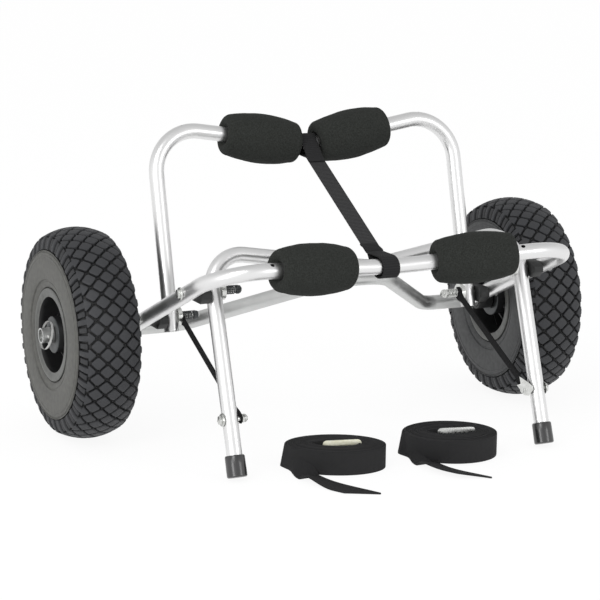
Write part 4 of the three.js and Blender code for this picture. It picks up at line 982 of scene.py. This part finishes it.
# %% Feet
for hand, side in SIDES:
    cup = turned([(0.01, 0), (10.9, 0), (FOOT_RADIUS, 1.3), (FOOT_RADIUS, 8), (12.05, 16), (12.0, 24.4),
                  (11.2, 26), (9.9, 26), (9.9, 5), (0.01, 5)], steps=56)
    leg_end = stand_plane @ Matrix.Translation((side * LEG_HALF, 0, -sole))
    placed(cup, leg_end @ Matrix.Rotation(-pi / 2, 4, "Y"))
    piece(f"rubber_foot_{hand}", cup, foot_rubber, "kickstand", f"stand_foot_{hand}")
print(len(made_pieces), "pieces so far")

# %% [markdown]
# A strap is modelled flat, as a long grid with its map in millimetres, then laid along a route: each
# point of the route says where the strap's middle is and which way its width points. Solidify gives it
# its thickness last, so the weave's map stays as drawn.

# %% Straps, laid along a route
def strap(name, stations, width, thickness, across_steps=4):
    """stations are pairs, the middle of the strap and the way its width points there. The pointer's length
    is the share of the width, and the grid's columns follow the stations."""
    middles = np.array([s[0] for s in stations])
    along = np.concatenate([[0], np.cumsum(np.linalg.norm(np.diff(middles, axis=0), axis=1))])
    bm = bmesh.new()
    ops.create_grid(bm, x_segments=len(stations) - 1, y_segments=across_steps, size=0.5)
    chart = bm.loops.layers.uv.new("strap")
    for face in bm.faces:
        for loop in face.loops:
            column = round((loop.vert.co.x + 0.5) * (len(stations) - 1))
            loop[chart].uv = (along[column], loop.vert.co.y * width)
    for v in bm.verts:
        middle, wide = stations[round((v.co.x + 0.5) * (len(stations) - 1))]
        v.co = Vector(middle) + Vector(wide) * (v.co.y * width)
    obj = modified(loose(name, bm), "SOLIDIFY", thickness=thickness, offset=0, use_even_offset=True)
    modified(obj, "BEVEL", width=thickness * 0.3, segments=2, limit_method="ANGLE", angle_limit=radians(50))
    return obj, float(along[-1])


def between(a, b, from_t, to_t, t):
    """The point at t on the line that is at a when t is from_t, and at b when it is to_t."""
    return (to_t - t) / (to_t - from_t) * a + (t - from_t) / (to_t - from_t) * b


def centripetal(points, spans=24):
    """Points of a smooth curve through the given ones, close together and evenly spaced."""
    pts = [np.array(p, float) for p in points]
    pts = [2 * pts[0] - pts[1], *pts, 2 * pts[-1] - pts[-2]]
    out = []
    for p0, p1, p2, p3 in zip(pts, pts[1:], pts[2:], pts[3:]):
        legs = ((p0, p1), (p1, p2), (p2, p3))
        t = np.cumsum([0] + [np.linalg.norm(b - a) ** 0.5 for a, b in legs])
        for k in range(spans):
            u = t[1] + (t[2] - t[1]) * k / spans
            a1, a2, a3 = (between(p, q, *t[i:i + 2], u) for i, (p, q) in enumerate(legs))
            b1, b2 = between(a1, a2, t[0], t[2], u), between(a2, a3, t[1], t[3], u)
            out.append(between(b1, b2, t[1], t[2], u))
    out.append(pts[-2])
    out = np.array(out)
    run = np.concatenate([[0], np.cumsum(np.linalg.norm(np.diff(out, axis=0), axis=1))])
    even = np.linspace(0, run[-1], len(out))
    return np.array([[np.interp(d, run, out[:, k]) for k in range(out.shape[1])] for d in even])


# %% [markdown]
# The tie-down straps were rolled up round their buckles and set on edge. Each is one unbroken strip:
# twelve flattened turns, then the outer end let out, twisting from its edge onto its face as it reaches
# the ground.

# %% Rolled tie-down straps
WEB_WIDTH, WEB_THICK, TURNS, STEPS = 28, 2.2, 12, 48


def smoothstep(t):
    t = min(max(t, 0), 1)
    return t * t * (3 - 2 * t)


def leaning(x, y, heading, lean, kick, rise=0.0, taper=1.0):
    """A station whose strap leans inward from its edge by an angle, kick moving it outward from the roll."""
    flat = Vector((0, 0, 1)).cross(heading)
    wide = Vector((0, 0, 1)) * cos(lean) + flat * sin(lean)
    z = WEB_WIDTH / 2 * abs(cos(lean)) + WEB_THICK / 2 * sin(lean) + rise
    middle = Vector((x, y, z)) - flat * kick + Vector((0, AXLE.y, 0))
    return middle + wide * (WEB_WIDTH / 2 * (1 - taper)), wide * taper


def rolled_strap(centre, lie, half_long, half_deep, tail, resting):
    """Stations of one strap in millimetres, from the core to the tail's end."""
    turn = Matrix.Rotation(radians(lie), 3, "Z")
    route = []
    for k in range(TURNS * STEPS + 1):
        share = k / (TURNS * STEPS)
        angle = pi + 2 * pi * TURNS * (share - 1)
        long = 28.5 + (half_long - 28.5) * share - WEB_THICK / 2
        deep = 13 + (half_deep - 13) * share - WEB_THICK / 2
        at = turn @ Vector((long * cos(angle), deep * sin(angle), 0))
        heading = turn @ Vector((-long * sin(angle), deep * cos(angle), 0)).normalized()
        route.append((at.x + centre[0], at.y + centre[1], heading))
    last = len(route) - 1
    stations = []
    for k, (x, y, heading) in enumerate(route):
        lean = LEAVING_LEAN * smoothstep((k - last + STEPS * 0.22) / (STEPS * 0.22))
        unrest = 1 + noise.noise(Vector((k / STEPS * 2.3, centre[0], 0)))
        rise = 0.9 * unrest * smoothstep((last - k) / STEPS)
        stations.append(leaning(x, y, heading, lean, WEB_WIDTH / 2 * sin(lean), rise))
    line = centripetal([(route[-1][0], route[-1][1]), *tail])
    count = len(line) - 1
    for k in range(1, count + 1):
        share = k / count
        heading = Vector((*(line[min(k + 1, count)] - line[k - 1]), 0)).normalized()
        lean = LEAVING_LEAN + (PINCH_LEAN - LEAVING_LEAN) * smoothstep((share - 0.08) / 0.36)
        lean -= (PINCH_LEAN - radians(resting)) * smoothstep((share - 0.45) / 0.25)
        kick = WEB_WIDTH / 2 * sin(LEAVING_LEAN) * (1 - smoothstep(share / 0.25))
        taper = 1 - 0.93 * min(max((share - 0.8) / 0.2, 0), 1)
        stations.append(leaning(line[k][0], line[k][1], heading, lean, kick, taper=taper))
    return stations


# %% [markdown]
# The two rolls differ a little in place, size and lie, and each tail has a line of its own.

# %% The two straps
LEAVING_LEAN, PINCH_LEAN = radians(10), radians(104)
ROLLS = {
    "left": ((-72.5, -252), -22.7, 62, 46, [(-127, -252), (-124, -287), (-117, -325), (-88, -388)], 91),
    "right": ((82.5, -252), -21.4, 59, 54, [(31, -248), (33, -284), (39, -324), (65, -377)], 102),
}
for hand, (centre, lie, half_long, half_deep, tail, resting) in ROLLS.items():
    route = rolled_strap(centre, lie, half_long, half_deep, tail, resting)
    drawn, length = strap(f"roll_{hand}", route, WEB_WIDTH, WEB_THICK, across_steps=2)
    tie_down = piece(f"tie_down_{hand}", drawn, tie_webbing, "frame", f"tie_strap_{hand}")
    print(f"tie-down strap {hand}: {length / 1000:.2f} m")

# %% [markdown]
# A cam buckle is a folded steel frame with a toothed lever between its cheeks. Most of it is hidden in
# the roll's core, and its plated back edge shows above the webbing.

# %% Cam buckles
def box(*sizes):
    bm = bmesh.new()
    ops.create_cube(bm, size=1)
    ops.scale(bm, vec=sizes, verts=bm.verts)
    return bm


def buckle(half_height):
    """A cam buckle that stands on the ground, its back plate twice half_height tall."""
    back = bmesh.new()
    ops.create_grid(back, x_segments=1, y_segments=1, size=1)
    ops.scale(back, vec=(24, half_height, 1), verts=back.verts)
    ops.bevel(back, geom=back.verts[:], offset=5, segments=6, profile=0.5, affect="VERTICES", material=-1)
    on_edge = Matrix.Translation((0, -2.5, half_height + 0.1)) @ Matrix.Rotation(pi / 2, 4, "X")
    parts = [placed(thicken(back, (0, 0, 2)), on_edge)]
    for z in (1, 27):
        cheek = box(28, 9, 2)
        edges = [e for e in cheek.edges if abs(e.verts[0].co.z - e.verts[1].co.z) > 1]
        ops.bevel(cheek, geom=edges, offset=3, segments=4, profile=0.5, affect="EDGES", material=-1)
        parts.append(placed(cheek, Matrix.Translation((0, 0, z))))
    parts.append(rod((0, 1.9, 1), (0, 1.9, 27), 2.6))
    parts.append(placed(box(15, 2.2, 22), Matrix.Translation((8, 2.2, 14))))
    return merged(*parts)


for hand, finish_of, half_height in (("left", yellow_zinc, 16.6), ("right", bright_zinc, 16.8)):
    centre, lie = ROLLS[hand][:2]
    in_core = Matrix.Translation((centre[0], centre[1] + AXLE.y, 0))
    in_core = in_core @ Matrix.Rotation(radians(lie + 11), 4, "Z") @ Matrix.Translation((7, 0, 0))
    piece(f"cam_buckle_{hand}", placed(buckle(half_height), in_core), finish_of, "frame",
          f"tie_buckle_{hand}", rounded=0.35)
print(len(made_pieces), "pieces so far")

# %% [markdown]
# The centre strap holds the rear frame up. It is sewn into a loop round each bar. It goes slack when the
# frame folds down; here it joins two bodies, so it is set on neither and drawn where it lies.

# %% Centre strap
def side_point(above, turn, origin):
    """A point of a tilted frame, seen from the side: its Y and Z."""
    t = radians(turn)
    return Vector((origin[1] - above * sin(t), origin[2] + above * cos(t)))


STRAP_WIDTH, STRAP_THICK, SEAM_REACH = 22, 1.8, 32
ENDS = {"rear": (1, -3), "front": (-10, -13)}


def rise(end):
    return (max(abs(x) for x in ENDS[end]) + STRAP_WIDTH / 2) * tan(VEE_SLOPE)


def loop_points(centre, toward, radius, steps=28):
    half_open = acos(radius / SEAM_REACH)
    turns = [half_open + (2 * pi - 2 * half_open) * k / steps for k in range(steps + 1)]
    return [centre + Matrix.Rotation(t, 2) @ toward * radius for t in turns]


rear_loop = side_point(REAR_VEE + rise("rear") / 2, REAR_TURN, rear_pivot)
front_loop = side_point(FRONT_VEE + rise("front") / 2, FRONT_TURN, AXLE)
heading = (front_loop - rear_loop).normalized()
above = Matrix.Rotation(-pi / 2, 2) @ heading
lift = above * (STRAP_THICK + 0.6)
rear_seam, front_seam = rear_loop + heading * SEAM_REACH, front_loop - heading * SEAM_REACH
radii = {end: (SEAT + rise(end) / 2) / cos(pi / 12) + STRAP_THICK / 2 for end in ENDS}
sewn = heading * 14
rear_run = [rear_seam + lift, *reversed(loop_points(rear_loop, heading, radii["rear"])), rear_seam]
front_run = [front_seam, *loop_points(front_loop, -heading, radii["front"]), front_seam + lift]
straight = [rear_seam.lerp(front_seam, k / 24) for k in range(1, 24)]
drawn_line = [rear_seam + lift + sewn, *rear_run, *straight, *front_run, front_seam + lift - sewn]


def sideways(end, run):
    """How far to the side each point of a loop lies: most at the middle of its way round the bar."""
    middle, seam = ENDS[end]
    return [seam + (middle - seam) * sin(pi * i / (len(run) - 1)) for i in range(len(run))]


crossing = [ENDS["rear"][1] + (ENDS["front"][1] - ENDS["rear"][1]) * k / 24 for k in range(1, 24)]
place_x = [*sideways("rear", rear_run), *crossing, *sideways("front", front_run)]
place_x = [place_x[0] - 2.8, *place_x, place_x[-1] - 2.8]
stations = [(Vector((x, p.x, p.y)), Vector((1, 0, 0))) for x, p in zip(place_x, drawn_line)]
drawn, length = strap("centre", stations, STRAP_WIDTH, STRAP_THICK)
rear_sewn, front_sewn = (
    14 + sum((b - a).length for a, b in zip(run, run[1:])) for run in (rear_run, front_run))
cart_webbing = webbing("ribbed nylon webbing", "#1f1f20", "#454546", 3.0, (rear_sewn, length - front_sewn))
centre_strap = piece("centre_webbing", drawn, cart_webbing, None, "centre_strap")
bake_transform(centre_strap)
print(f"centre strap: {length / 1000:.2f} m")

# %% [markdown]
# The two limiter straps stop the kickstand when it swings out. Each is narrow webbing with an eye at
# both ends: one on the rear pivot's bolt, one on the bolt low on the leg. The right leg's bolt also
# holds a jagged, bent steel tab.

# %% Limiter straps
leg_bolt = stand_plane @ Vector((0, 0, -leg_bolt_below))
for hand, side in SIDES:
    x = side * (SADDLE_INNER - 0.3 - 0.8)
    start, end = Vector((x, rear_pivot.y, rear_pivot.z)), Vector((x, leg_bolt.y, leg_bolt.z))
    run = (end - start).normalized()
    wide = Vector((1, 0, 0)).cross(run)
    line = [start - run * 5 + (end - start + run * 10) * k / 60 for k in range(61)]
    stations = []
    for k, point in enumerate(line):
        from_middle, swell = abs(k - 30), 0.6 if k < 30 else 0.3
        eye = 1 + swell * smoothstep((from_middle - 24) / 3) - 0.5 * smoothstep(from_middle - 29)
        stations.append((point, wide * eye))
    drawn, length = strap(f"limiter_{hand}", stations, 10, 1.6, across_steps=2)
    limiter = piece(f"limiter_webbing_{hand}", drawn, edge_webbing, None, f"limiter_strap_{hand}")
    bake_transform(limiter)

cut_out = [(-9.4, 17.8), (-7.5, 8.4), (-12.2, 6.6), (-6.5, -1), (-3, -6), (3, -6.6), (8.5, 1), (8, 5),
           (1.9, 10.3)]
at_bolt = Matrix.Translation((LEG_HALF - 17, leg_bolt.y - 5, leg_bolt.z))
tab = plate([(x, 0, z) for x, z in cut_out], (0, 0.8, 0))
placed(tab, at_bolt @ Matrix.Rotation(radians(-25), 4, "Z"))
piece("strap_tab_right", tab, bright_zinc, "kickstand", None, rounded=0.15)
print(len(made_pieces), "pieces so far")

# %% Pieces and faces
print(len(made_pieces), "pieces,", sum(len(o.data.polygons) for o in made_pieces), "faces")
